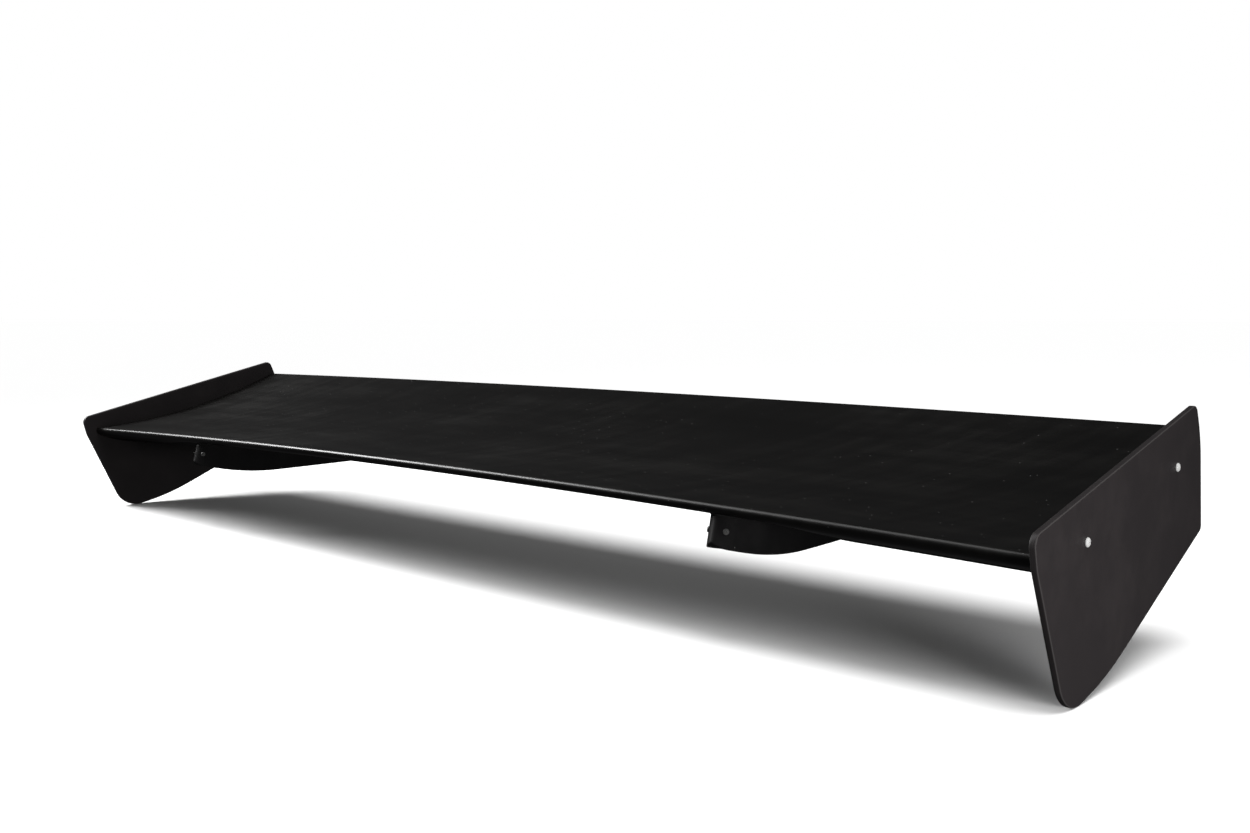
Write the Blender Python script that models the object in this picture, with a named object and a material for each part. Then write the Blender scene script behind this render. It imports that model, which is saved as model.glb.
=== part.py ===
"""A racing rear wing: a hollow laminate blade between two drooping end plates, on two pedestals.

World axes: X runs along the span, -Y is the leading edge, +Z is up. The origin lies halfway
between the two pedestal feet, on the deck that they are bolted down to. Sizes are in metres.

The blade and the end plates are drawn in section coordinates (c, h). c runs rearward along the
blade's chord line and h runs up, square to it. The section is pitched up at the tail by PITCH.
"""
import math

import bmesh
import bpy
from mathutils import Matrix, Vector

# Overall
SPAN = 1.500
PITCH = math.radians(13.0)
NOSE_HEIGHT = 0.0469
NOSE_SETBACK = -0.1856
GAP = 0.0003
SIDES = (("left", -1.0), ("right", 1.0))
ALONG_X = (1.0, 0.0, 0.0)
THROUGH = 0.080
SHARP_ANGLE = math.radians(35.0)

# End plates: corners as (c, h, corner radius), walked clockwise from the front top corner
PLATE_T = 0.0055
PLATE_EDGE_R = 0.0016
PLATE_CORNERS = (
    (-0.0165, 0.0210, 0.0100),
    (0.3105, 0.0238, 0.0085),
    (0.3168, -0.0080, 0.1200),
    (0.3075, -0.0918, 0.0060),
    (0.0850, -0.1350, 0.3500),
    (0.0108, -0.1330, 0.0350),
    (-0.0162, -0.0050, 0.0270),
)
PLATE_SCREWS = ((0.0672, -0.0139), (0.2560, -0.0167))

# Blade section
TIP_C = -0.002
TAIL_C = 0.309
CHORD = TAIL_C - TIP_C
NOSE_R = 0.0046
TOP_H = 0.0007
TAIL_H = 0.0034
TAIL_T = 0.0040
SAG = 0.0135
BELLY_AT = 0.45
BELLY_INNER = 0.029
BELLY_OUTER = 0.039
BELLY_POWER_INNER = 2.0
BELLY_POWER_OUTER = 2.9
BELLY_TAIL_POWER = 2.6
BELLY_BLEND = (0.470, 0.570)
ARCH_NOSE = 0.0116
ARCH_TAIL = 0.0045
SKIN = 0.0025
BOND = 0.0006
SEAM_C = 0.012
BLADE_END = SPAN / 2.0 - PLATE_T - GAP

# Mesh density: span stations from the centre to each bound, chord steps, turns of round parts
STATION_COUNTS = (5, 6, 3)
NOSE_TURNS = 6
UPPER_STEPS = 16
LIP_STEPS = 2
LOWER_STEPS = 18
RIB_STEPS = 16
PLAN_NOSE_TURNS = 9
PLAN_FLANK_STEPS = 12
PEDESTAL_LEVELS = 5
FOOT_STEPS = 8
WEB_TOP_STEPS = 12
TURN_SEGMENTS = 18
CORNER_STEP = math.radians(11.0)
PLATE_EDGE_SEGMENTS = 3
PLATE_EDGE_ANGLE = math.radians(60.0)
SURFACE_PASSES = 6

# Spars and ribs inside the blade. The spars stand at fractions of the chord.
FRONT_SPAR_S = 0.25
REAR_SPAR_S = 0.68
SPAR_WIDTH = 0.016
SPAR_WALL = 0.003
END_RIB_T = 0.012
END_RIB_REACH = (0.016, 0.284)
PEDESTAL_RIB_T = 0.006
WEB_BOLT_SPOTS = (0.22, 0.78)

# Pedestals
PEDESTAL_X = 0.4485
PEDESTAL_HALF_W = 0.0210
PEDESTAL_LENGTH = 0.2700
PEDESTAL_FRONT_TOP = 0.0040
PEDESTAL_FRONT_BOTTOM = -0.0025
PEDESTAL_WIDEST = 0.17
PEDESTAL_TAIL_HALF_W = 0.0035
PEDESTAL_WALL = 0.003
PEDESTAL_TOE_RISE = 0.0154
PEDESTAL_TOE_LENGTH = 0.1120
PEDESTAL_TOE_R = 0.0090
PEDESTAL_TOE_CURL = 0.6
PEDESTAL_TAPER_POWER = 1.7

# Foot block in each pedestal's mouth: distances behind the blade's nose, and heights
FOOT_FRONT = 0.118
FOOT_REAR = 0.246
FOOT_HEIGHT = 0.020
SLOT_END = 0.0117
SLOT_DEPTH = 0.008
FOOT_BOLTS = (0.140, 0.208)
FOOT_BOLT_R = 0.0034
FOOT_BOLT_DEPTH = 0.011
FOOT_PINS = (0.160, 0.188)
FOOT_PIN_HEIGHT = 0.0161
PIN_R = 0.0025
PIN_CHAMFER = 0.0004
PIN_SINK = 0.001

# Upright web of each pedestal. WEB_TOE holds (y, z) offsets from the cross screws' centre.
WEB_T = 0.006
WEB_TOP_CLEAR = 0.001
WEB_FRONT_INSET = 0.002
WEB_REAR_INSET = 0.004
WEB_REAR_HEIGHT = 0.045
WEB_HEEL_HEIGHT = 0.036
WEB_SHOULDER = 0.002
WEB_THROAT = 0.005
WEB_CROSSING_H = -0.020
WEB_TOE = ((-0.002, -0.0075), (-0.007, -0.002), (-0.006, 0.006), (0.010, 0.009))
CROSS_SCREW = (0.0155, 0.0290)
CROSS_SLEEVE = 0.0152
SLEEVE_R = 0.0040

# Fasteners: thread radius, head radius, head height, socket half-width across flats
M4 = (0.0020, 0.0038, 0.0022, 0.00125)
M6 = (0.0030, 0.00525, 0.0033, 0.0020)
SHANK_SLACK = 0.0003
SHANK_TIP = 0.0008
SHANK_TIP_SCALE = 0.7
HEAD_RIM = 0.25
DOME_TURNS = (0.0, 0.35, 0.7, 1.0)
SOCKET_TOP = 0.93
SOCKET_FLOOR = 0.40
PLATE_SCREW_LENGTH = 0.016
CROSS_SCREW_LENGTH = 0.013
CROSS_SCREW_SEAT = 0.0008
WEB_BOLT_TAIL = 0.0065
NUT_HALF_FLATS = 0.0050
NUT_HEIGHT = 0.0050
INSERT_R = 0.0026

# Finishes: base colour, roughness, metallic
LAMINATE = ("black_laminate", (0.012, 0.012, 0.013), 0.38, 0.0)
PLATE_LAMINATE = ("plate_laminate", (0.022, 0.020, 0.020), 0.42, 0.0)
RAW_LAMINATE = ("raw_laminate", (0.09, 0.10, 0.06), 0.55, 0.0)
PLYWOOD = ("plywood", (0.42, 0.28, 0.15), 0.7, 0.0)
ALUMINIUM = ("aluminium", (0.62, 0.63, 0.64), 0.38, 1.0)
STAINLESS = ("stainless", (0.72, 0.72, 0.71), 0.22, 1.0)
ZINC = ("zinc_steel", (0.55, 0.56, 0.55), 0.35, 1.0)


def clear_scene():
    """Remove every object that the file already holds."""
    for obj in list(bpy.data.objects):
        bpy.data.objects.remove(obj, do_unlink=True)


def material(finish):
    """Return the Principled BSDF material for a finish, made once."""
    name, colour, roughness, metallic = finish
    found = bpy.data.materials.get(name)
    if found:
        return found
    made = bpy.data.materials.new(name)
    made.use_nodes = True
    shader = made.node_tree.nodes["Principled BSDF"]
    shader.inputs["Base Color"].default_value = (*colour, 1.0)
    shader.inputs["Roughness"].default_value = roughness
    shader.inputs["Metallic"].default_value = metallic
    return made


def add_object(name, mesh_data, finish):
    """Link a bmesh to the scene as a named, smooth-shaded object facing outwards."""
    bmesh.ops.recalc_face_normals(mesh_data, faces=mesh_data.faces)
    mesh = bpy.data.meshes.new(name)
    mesh_data.to_mesh(mesh)
    mesh_data.free()
    mesh.shade_smooth()
    mesh.set_sharp_from_angle(angle=SHARP_ANGLE)
    mesh.materials.append(material(finish))
    obj = bpy.data.objects.new(name, mesh)
    bpy.context.scene.collection.objects.link(obj)
    return obj


def loft(rings):
    """Join closed rings of equal length into one solid, with a face at each end."""
    data = bmesh.new()
    rows = [[data.verts.new(point) for point in ring] for ring in rings]
    count = len(rows[0])
    for near, far in zip(rows, rows[1:]):
        for i in range(count):
            j = (i + 1) % count
            data.faces.new((near[i], near[j], far[j], far[i]))
    data.faces.new(rows[0])
    data.faces.new(rows[-1])
    return data


def tube_wall(outer_rings, inner_rings):
    """Join an outer and an inner stack of rings into one open-ended tube."""
    data = bmesh.new()
    stacks = [[data.verts.new(p) for p in ring] for ring in outer_rings]
    stacks += [[data.verts.new(p) for p in ring] for ring in reversed(inner_rings)]
    count = len(stacks[0])
    for k, near in enumerate(stacks):
        far = stacks[(k + 1) % len(stacks)]
        for i in range(count):
            j = (i + 1) % count
            data.faces.new((near[i], near[j], far[j], far[i]))
    return data


def cylinder_mesh(data, centre, axis, radius, length):
    """Add a closed cylinder to a bmesh, centred on a point."""
    turn = Vector((0.0, 0.0, 1.0)).rotation_difference(Vector(axis)).to_matrix().to_4x4()
    bmesh.ops.create_cone(
        data, cap_ends=True, segments=TURN_SEGMENTS, radius1=radius, radius2=radius, depth=length,
        matrix=Matrix.Translation(centre) @ turn)


def box_mesh(data, low, high):
    """Add an axis-aligned box between two corners to a bmesh."""
    low, high = Vector(low), Vector(high)
    size = Matrix.Diagonal((*(high - low), 1.0))
    bmesh.ops.create_cube(data, size=1.0, matrix=Matrix.Translation((low + high) / 2.0) @ size)


def cut(target, data):
    """Take a cutter bmesh out of an object with an exact Boolean."""
    mesh = bpy.data.meshes.new(target.name + "_cutter")
    bmesh.ops.recalc_face_normals(data, faces=data.faces)
    data.to_mesh(mesh)
    data.free()
    cutter = bpy.data.objects.new(mesh.name, mesh)
    cutter.hide_render = True
    cutter.display_type = "WIRE"
    bpy.context.scene.collection.objects.link(cutter)
    boolean = target.modifiers.new("cut", "BOOLEAN")
    boolean.operation = "DIFFERENCE"
    boolean.solver = "EXACT"
    boolean.object = cutter


def drill(target, centres, axis, radius, length=THROUGH):
    """Drill round holes, centred on points, into an object."""
    data = bmesh.new()
    for centre in centres:
        cylinder_mesh(data, centre, axis, radius, length)
    cut(target, data)


# ---------------------------------------------------------------- blade section

def to_world(x, c, h):
    """Turn section coordinates at span position x into a world point."""
    y = c * math.cos(PITCH) - h * math.sin(PITCH)
    z = c * math.sin(PITCH) + h * math.cos(PITCH)
    return (x, y + NOSE_SETBACK, z + NOSE_HEIGHT)


def smoothstep(low, high, value):
    """Ease from 0 to 1 between two limits."""
    t = min(max((value - low) / (high - low), 0.0), 1.0)
    return t * t * (3.0 - 2.0 * t)


def arch(x, s):
    """Height of the blade's gentle span-wise arch at chord fraction s."""
    rise = ARCH_NOSE + (ARCH_TAIL - ARCH_NOSE) * s
    return rise * (1.0 - (2.0 * x / SPAN) ** 2)


def belly(x, s):
    """Depth of the underside below its base line. It is fuller outboard of the pedestals."""
    mix = smoothstep(*BELLY_BLEND, abs(x))
    depth = BELLY_INNER + (BELLY_OUTER - BELLY_INNER) * mix
    power = BELLY_POWER_INNER + (BELLY_POWER_OUTER - BELLY_POWER_INNER) * mix
    if s < BELLY_AT:
        return depth * (1.0 - (1.0 - s / BELLY_AT) ** power)
    return depth * (1.0 - ((s - BELLY_AT) / (1.0 - BELLY_AT)) ** BELLY_TAIL_POWER)


def blade_heights(x, c, inset=0.0):
    """Top and bottom h of the blade at c. inset shrinks the section evenly, for its inside."""
    s = min(max((c - TIP_C) / CHORD, 0.0), 1.0)
    top = TOP_H + (TAIL_H - TOP_H) * s - 4.0 * SAG * s * (1.0 - s) - inset
    start = TOP_H - 2.0 * NOSE_R
    bottom = start + (TAIL_H - TAIL_T - start) * s - belly(x, s) + inset
    radius = NOSE_R - inset
    reach = min(max((c - TIP_C - inset) / radius, 0.0), 1.0)
    curl = radius * (1.0 - math.sqrt(1.0 - (1.0 - reach) ** 2))
    lift = arch(x, s)
    return top - curl + lift, bottom + curl + lift


def nose_steps(start, radius):
    """Chord positions round the nose, evenly spaced in angle."""
    quarter = math.pi / 2.0
    return [start + radius * (1.0 - math.cos(quarter * i / NOSE_TURNS)) for i in range(NOSE_TURNS)]


def chord_steps(first, last, count):
    """Evenly spaced chord positions."""
    return [first + (last - first) * i / count for i in range(count + 1)]


def upper_skin_ring(x):
    """Closed outline of the upper skin: round the nose from the seam, then along to the tail."""
    half_gap = GAP / 2.0
    nose_out = nose_steps(TIP_C, NOSE_R)
    nose_in = nose_steps(TIP_C + SKIN, NOSE_R - SKIN)
    top_out = chord_steps(TIP_C + NOSE_R, TAIL_C, UPPER_STEPS)
    low_lip = chord_steps(TIP_C + NOSE_R, SEAM_C, LIP_STEPS)
    outer = [(c, blade_heights(x, c)[1]) for c in reversed(low_lip)]
    outer += [(c, blade_heights(x, c)[1]) for c in reversed(nose_out)]
    outer += [(c, blade_heights(x, c)[0]) for c in nose_out[1:] + top_out]
    inner = []
    for c in reversed(top_out):
        top, bottom = blade_heights(x, c)
        inner.append((c, max(top - SKIN, (top + bottom) / 2.0 + half_gap)))
    inner += [(c, blade_heights(x, c, SKIN)[0]) for c in reversed(nose_in)]
    inner += [(c, blade_heights(x, c, SKIN)[1]) for c in nose_in[1:]]
    inner += [(c, blade_heights(x, c)[1] + SKIN) for c in low_lip]
    return [to_world(x, c, h) for c, h in outer + inner]


def lower_skin_ring(x):
    """Closed outline of the lower skin, from the seam under the nose to the tail."""
    run = chord_steps(SEAM_C + GAP, TAIL_C, LOWER_STEPS)
    outer = [(c, blade_heights(x, c)[1]) for c in run]
    inner = []
    for c in reversed(run):
        top, bottom = blade_heights(x, c)
        inner.append((c, min(bottom + SKIN, (top + bottom) / 2.0 - GAP / 2.0)))
    return [to_world(x, c, h) for c, h in outer + inner]


def span_stations(limit):
    """Span positions out to a limit on both sides, closest together where the belly changes."""
    bounds = (0.0, *BELLY_BLEND, BLADE_END)
    half = []
    for low, high, count in zip(bounds, bounds[1:], STATION_COUNTS):
        half += [low + (high - low) * i / count for i in range(count)]
    half = [x for x in half if x < limit - 0.001] + [limit]
    return [-x for x in reversed(half[1:])] + half


def make_skins():
    """The two moulded shells of the blade. The lower one is slotted for the pedestals' webs."""
    stations = span_stations(BLADE_END)
    add_object("blade_upper_skin", loft([upper_skin_ring(x) for x in stations]), LAMINATE)
    lower = add_object("blade_lower_skin", loft([lower_skin_ring(x) for x in stations]), LAMINATE)
    slots = bmesh.new()
    front, rear = web_reach()
    for _, side in SIDES:
        x = side * PEDESTAL_X
        clear = WEB_T / 2.0 + GAP
        box_mesh(slots, (x - clear, front - GAP, 0.0), (x + clear, rear + GAP, THROUGH))
    cut(lower, slots)


# ---------------------------------------------------------------- inside the blade

def cavity(x, c):
    """Top and bottom h of the hollow inside the skins at c, less the adhesive's thickness."""
    top, bottom = blade_heights(x, c)
    return top - SKIN - BOND, bottom + SKIN + BOND


def spar_ring(x, s, opening):
    """C-section between the skins. opening is +1 where the channel opens rearward."""
    web = TIP_C + CHORD * s
    tip = web + opening * SPAR_WIDTH
    inner = web + opening * SPAR_WALL
    outline = [(web, cavity(x, web)[0]), (tip, cavity(x, tip)[0])]
    outline += [(tip, cavity(x, tip)[0] - SPAR_WALL), (inner, cavity(x, inner)[0] - SPAR_WALL)]
    outline += [(inner, cavity(x, inner)[1] + SPAR_WALL), (tip, cavity(x, tip)[1] + SPAR_WALL)]
    outline += [(tip, cavity(x, tip)[1]), (web, cavity(x, web)[1])]
    return [to_world(x, u, h) for u, h in outline]


def make_spars():
    """Two laminate channel spars, between the end ribs."""
    limit = BLADE_END - END_RIB_T - GAP
    stations = span_stations(limit)
    for name, s, opening in (("front_spar", FRONT_SPAR_S, -1), ("rear_spar", REAR_SPAR_S, 1)):
        rings = [spar_ring(x, s, opening) for x in stations]
        add_object(name, loft(rings), RAW_LAMINATE)


def rib_rings(x_near, x_far, first, last):
    """Two matching outlines of a rib that fills the hollow between two chord positions."""
    rings = []
    run = chord_steps(first, last, RIB_STEPS)
    for x in (x_near, x_far):
        ring = [(c, cavity(x, c)[0]) for c in run] + [(c, cavity(x, c)[1]) for c in reversed(run)]
        rings.append([to_world(x, c, h) for c, h in ring])
    return rings


def make_end_ribs():
    """A plywood rib closes each end of the blade and carries the end plate's inserts."""
    for label, side in SIDES:
        near, far = side * (BLADE_END - END_RIB_T), side * BLADE_END
        rib = add_object(f"end_rib_{label}", loft(rib_rings(near, far, *END_RIB_REACH)), PLYWOOD)
        centres = [to_world(side * (BLADE_END - END_RIB_T / 2.0), c, h) for c, h in PLATE_SCREWS]
        drill(rib, centres, ALONG_X, INSERT_R + GAP)


def rib_span():
    """Chord positions between the spars' backs, where the pedestal ribs and webs fit."""
    front = TIP_C + CHORD * FRONT_SPAR_S + GAP
    rear = TIP_C + CHORD * REAR_SPAR_S - GAP
    return front, rear


def web_bolts(side):
    """World centres of the two bolts that hold a web between its ribs."""
    front, rear = rib_span()
    x = side * PEDESTAL_X
    points = []
    for spot in WEB_BOLT_SPOTS:
        c = front + (rear - front) * spot
        top, bottom = cavity(x, c)
        points.append(to_world(x, c, (top + bottom) / 2.0))
    return points


def make_pedestal_ribs():
    """A pair of plywood ribs clamps each web inside the blade."""
    front, rear = rib_span()
    for label, side in SIDES:
        for place_name, way in (("inner", -side), ("outer", side)):
            near = side * PEDESTAL_X + way * (WEB_T / 2.0 + GAP)
            far = near + way * PEDESTAL_RIB_T
            rib_mesh = loft(rib_rings(near, far, front, rear))
            rib = add_object(f"pedestal_rib_{label}_{place_name}", rib_mesh, PLYWOOD)
            drill(rib, web_bolts(side), ALONG_X, M6[0] + GAP)


# ---------------------------------------------------------------- pedestals

def pedestal_half_width(t):
    """Half-width of the pedestal's streamlined plan at fraction t of its length."""
    if t < PEDESTAL_WIDEST:
        return PEDESTAL_HALF_W * math.sqrt(max(0.0, 1.0 - (1.0 - t / PEDESTAL_WIDEST) ** 2))
    fall = ((t - PEDESTAL_WIDEST) / (1.0 - PEDESTAL_WIDEST)) ** PEDESTAL_TAPER_POWER
    return PEDESTAL_HALF_W + (PEDESTAL_TAIL_HALF_W - PEDESTAL_HALF_W) * fall


def pedestal_bottom(y):
    """Height of the pedestal's lower rim y behind the nose: flat, with an upswept toe."""
    rise = PEDESTAL_TOE_RISE * max(0.0, 1.0 - max(y, 0.0) / PEDESTAL_TOE_LENGTH) ** 2
    reach = min(max((y - PEDESTAL_FRONT_BOTTOM) / PEDESTAL_TOE_R, 0.0), 1.0)
    curl = PEDESTAL_TOE_R * PEDESTAL_TOE_CURL
    return rise + curl * (1.0 - math.sqrt(1.0 - (1.0 - reach) ** 2))


def height_above(y, surface):
    """World height at world y of a surface whose h is given as a function of c."""
    c = (y - NOSE_SETBACK) / math.cos(PITCH)
    for _ in range(SURFACE_PASSES):
        c = (y - NOSE_SETBACK + surface(min(c, TAIL_C)) * math.sin(PITCH)) / math.cos(PITCH)
    return to_world(0.0, c, surface(min(c, TAIL_C)))[2]


def underside(x, y):
    """World height of the blade's outer underside above a world point."""
    return height_above(y, lambda c: blade_heights(x, c)[1])


def plan_steps():
    """Fractions of a pedestal's length, closest together round its nose."""
    quarter = math.pi / 2.0
    nose = [1.0 - math.cos(quarter * i / PLAN_NOSE_TURNS) for i in range(PLAN_NOSE_TURNS)]
    flank = [i / PLAN_FLANK_STEPS for i in range(PLAN_FLANK_STEPS + 1)]
    steps = [PEDESTAL_WIDEST * t for t in nose]
    return steps + [PEDESTAL_WIDEST + (1.0 - PEDESTAL_WIDEST) * t for t in flank]


def plan_ring(side, front, rear, inset):
    """Plan outline of a pedestal as (x, y) points, y measured from the nose of the blade."""
    length = rear - front
    right = []
    for t in plan_steps():
        width = max(pedestal_half_width(t) - inset, 0.0)
        right.append((width, front + inset + (length - 2.0 * inset) * t))
    left = [(-width, y) for width, y in reversed(right) if width > 0.0]
    centre = side * PEDESTAL_X
    return [(centre + x, y) for x, y in right + left]


def pedestal_rings(side, inset):
    """Stacked rings of a pedestal wall, from the lower rim up to the blade's underside."""
    rear = PEDESTAL_FRONT_TOP + PEDESTAL_LENGTH
    low_plan = plan_ring(side, PEDESTAL_FRONT_BOTTOM, rear, inset)
    high_plan = plan_ring(side, PEDESTAL_FRONT_TOP, rear, inset)
    rings = []
    for level in range(PEDESTAL_LEVELS + 1):
        t = level / PEDESTAL_LEVELS
        ring = []
        for (x0, y0), (x1, y1) in zip(low_plan, high_plan):
            x, y = x0 + (x1 - x0) * t, y0 + (y1 - y0) * t
            low = pedestal_bottom(y0)
            high = underside(x, y1 + NOSE_SETBACK) - GAP
            ring.append((x, y + NOSE_SETBACK, low + (high - low) * t))
        rings.append(ring)
    return rings


def cross_screw_centre(side):
    """World point on the pedestal's centre plane where the cross screws meet."""
    return Vector((side * PEDESTAL_X, CROSS_SCREW[0] + NOSE_SETBACK, CROSS_SCREW[1]))


def make_pedestals():
    """The hollow streamlined fairing of each pedestal."""
    for label, side in SIDES:
        data = tube_wall(pedestal_rings(side, 0.0), pedestal_rings(side, PEDESTAL_WALL))
        shell = add_object(f"pedestal_{label}", data, LAMINATE)
        drill(shell, [cross_screw_centre(side)], ALONG_X, M4[0] + GAP)


def web_reach():
    """World y of the web's front and rear edges where it passes through the lower skin."""
    front, rear = rib_span()
    y_front = to_world(0.0, front, WEB_CROSSING_H)[1] + WEB_FRONT_INSET
    y_rear = to_world(0.0, rear, WEB_CROSSING_H)[1] - WEB_REAR_INSET
    return y_front, y_rear


def web_outline(x):
    """Outline of a web as world (y, z) points: along its top, down its heel, and round its toe."""
    front, rear = web_reach()
    heel_y = FOOT_REAR + NOSE_SETBACK - SLOT_END - GAP
    tongue_y = FOOT_FRONT + NOSE_SETBACK + SLOT_END + GAP
    tongue_z = FOOT_HEIGHT - SLOT_DEPTH + GAP
    top_run = [front + (rear - front) * i / WEB_TOP_STEPS for i in range(WEB_TOP_STEPS + 1)]
    outline = [(y, height_above(y, lambda c: cavity(x, c)[0] - WEB_TOP_CLEAR)) for y in top_run]
    outline += [(rear, WEB_REAR_HEIGHT), (heel_y, WEB_HEEL_HEIGHT), (heel_y, tongue_z)]
    outline += [(tongue_y, tongue_z), (tongue_y, FOOT_HEIGHT + WEB_SHOULDER)]
    outline += [(CROSS_SCREW[0] + NOSE_SETBACK + dy, CROSS_SCREW[1] + dz) for dy, dz in WEB_TOE]
    return outline + [(front, underside(x, front) - WEB_THROAT)]


def make_webs():
    """The upright plate of each pedestal, from the cross screws and the foot up into the blade."""
    for label, side in SIDES:
        x = side * PEDESTAL_X
        outline = web_outline(x)
        rings = [[(px, y, z) for y, z in outline] for px in (x - WEB_T / 2.0, x + WEB_T / 2.0)]
        web = add_object(f"pedestal_web_{label}", loft(rings), ALUMINIUM)
        drill(web, web_bolts(side), ALONG_X, M6[0] + GAP)
        drill(web, [cross_screw_centre(side)], ALONG_X, SLEEVE_R + GAP)
        drill(web, foot_pin_centres(side), ALONG_X, PIN_R + GAP)


def foot_pin_centres(side):
    """World centres of the pins that lock a web into its foot."""
    return [(side * PEDESTAL_X, y + NOSE_SETBACK, FOOT_PIN_HEIGHT) for y in FOOT_PINS]


def make_feet():
    """The aluminium foot block in each pedestal's mouth, slotted for the web and drilled."""
    for label, side in SIDES:
        x = side * PEDESTAL_X
        run = chord_steps(FOOT_FRONT, FOOT_REAR, FOOT_STEPS)
        flank = [(foot_half_width(y), y) for y in run]
        outline = flank + [(-width, y) for width, y in reversed(flank)]
        rings = [[(x + px, y + NOSE_SETBACK, z) for px, y in outline] for z in (0.0, FOOT_HEIGHT)]
        foot = add_object(f"pedestal_foot_{label}", loft(rings), ALUMINIUM)
        slot = bmesh.new()
        clear = WEB_T / 2.0 + GAP
        slot_front = FOOT_FRONT + NOSE_SETBACK + SLOT_END
        slot_rear = FOOT_REAR + NOSE_SETBACK - SLOT_END
        slot_floor = FOOT_HEIGHT - SLOT_DEPTH
        slot_low, slot_high = (x - clear, slot_front, slot_floor), (x + clear, slot_rear, THROUGH)
        box_mesh(slot, slot_low, slot_high)
        cut(foot, slot)
        drill(foot, foot_pin_centres(side), ALONG_X, PIN_R + GAP)
        bolts = [(x, y + NOSE_SETBACK, 0.0) for y in FOOT_BOLTS]
        drill(foot, bolts, (0.0, 0.0, 1.0), FOOT_BOLT_R, 2.0 * FOOT_BOLT_DEPTH)


def foot_half_width(y):
    """Half-width of the foot block, a fitting gap inside the pedestal's wall."""
    front = PEDESTAL_FRONT_BOTTOM + PEDESTAL_WALL
    length = PEDESTAL_FRONT_TOP + PEDESTAL_LENGTH - PEDESTAL_FRONT_BOTTOM - 2.0 * PEDESTAL_WALL
    return pedestal_half_width((y - front) / length) - PEDESTAL_WALL - 2.0 * GAP


# ---------------------------------------------------------------- end plates

def rounded_outline(corners):
    """Replace each corner by an arc of its own radius. Corners run clockwise."""
    points = []
    count = len(corners)
    for i, (cx, cy, radius) in enumerate(corners):
        here = Vector((cx, cy))
        before = (Vector(corners[i - 1][:2]) - here).normalized()
        after = (Vector(corners[(i + 1) % count][:2]) - here).normalized()
        half = before.angle(after) / 2.0
        centre = here + (before + after).normalized() * radius / math.sin(half)
        start = here + before * radius / math.tan(half) - centre
        end = here + after * radius / math.tan(half) - centre
        sweep = start.angle_signed(end)
        turns = max(2, math.ceil(abs(sweep) / CORNER_STEP))
        for k in range(turns + 1):
            angle = -sweep * k / turns
            x = start.x * math.cos(angle) - start.y * math.sin(angle)
            y = start.x * math.sin(angle) + start.y * math.cos(angle)
            points.append((centre.x + x, centre.y + y))
    return points


def make_end_plates():
    """The drooping plates that close the ends of the blade, with eased edges."""
    outline = rounded_outline(PLATE_CORNERS)
    for label, side in SIDES:
        xs = (side * (SPAN / 2.0 - PLATE_T), side * SPAN / 2.0)
        rings = [[to_world(x, c, h) for c, h in outline] for x in xs]
        plate = add_object(f"end_plate_{label}", loft(rings), PLATE_LAMINATE)
        bevel = plate.modifiers.new("eased_edge", "BEVEL")
        bevel.limit_method = "ANGLE"
        bevel.angle_limit = PLATE_EDGE_ANGLE
        bevel.width = PLATE_EDGE_R
        bevel.segments = PLATE_EDGE_SEGMENTS
        centres = [to_world(side * SPAN / 2.0, c, h) for c, h in PLATE_SCREWS]
        drill(plate, centres, ALONG_X, M4[0] + GAP)


# ---------------------------------------------------------------- fasteners

def lathe(profile):
    """Turn (radius, height, hex) rows round Z. A hex row takes the shape of a hexagon."""
    data = bmesh.new()
    rows = []
    half_side = math.pi / 6.0
    for radius, height, is_hex in profile:
        ring = []
        for i in range(TURN_SEGMENTS):
            angle = math.tau * i / TURN_SEGMENTS
            flat = math.cos((angle + half_side) % (2.0 * half_side) - half_side)
            reach = radius / flat if is_hex else radius
            ring.append(data.verts.new((reach * math.cos(angle), reach * math.sin(angle), height)))
        rows.append(ring)
    for near, far in zip(rows, rows[1:]):
        for i in range(TURN_SEGMENTS):
            j = (i + 1) % TURN_SEGMENTS
            data.faces.new((near[i], near[j], far[j], far[i]))
    data.faces.new(rows[0])
    data.faces.new(rows[-1])
    return data


def ring_lathe(profile):
    """Turn a closed profile of (radius, height, hex) rows round Z into a ring."""
    data = lathe(profile)
    ends = [face for face in data.faces if len(face.verts) == TURN_SEGMENTS]
    first, last = [list(face.verts) for face in ends]
    bmesh.ops.delete(data, geom=ends, context="FACES_ONLY")
    for i in range(TURN_SEGMENTS):
        j = (i + 1) % TURN_SEGMENTS
        data.faces.new((first[i], first[j], last[j], last[i]))
    return data


def button_screw_profile(size, length):
    """Rows of a socket button-head screw. The head sits above z = 0 and the shank below it."""
    thread, head, height, socket = size
    shank = thread - SHANK_SLACK
    rows = [(shank * SHANK_TIP_SCALE, -length, False), (shank, SHANK_TIP - length, False)]
    rows += [(shank, 0.0, False), (head, 0.0, False)]
    for turn in DOME_TURNS:
        lift = height * (HEAD_RIM + (1.0 - HEAD_RIM) * math.sin(turn))
        rows.append((head * math.cos(turn), lift, False))
    rows += [(socket, height * SOCKET_TOP, True), (socket, height * SOCKET_FLOOR, True)]
    return rows


def sleeve_mesh(bore, radius, half_length):
    """A plain round sleeve, centred on the origin."""
    rows = [(bore, -half_length, False), (radius, -half_length, False)]
    return ring_lathe(rows + [(radius, half_length, False), (bore, half_length, False)])


def nut_mesh(bore, half_flats, height):
    """A hexagonal nut that stands on z = 0."""
    rows = [(bore, 0.0, False), (half_flats, 0.0, True)]
    return ring_lathe(rows + [(half_flats, height, True), (bore, height, False)])


def place(name, data, finish, point, axis):
    """Move a bmesh built on +Z to a world point, facing along an axis."""
    turn = Vector((0.0, 0.0, 1.0)).rotation_difference(Vector(axis)).to_matrix().to_4x4()
    bmesh.ops.transform(data, matrix=Matrix.Translation(point) @ turn, verts=data.verts)
    return add_object(name, data, finish)


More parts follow.
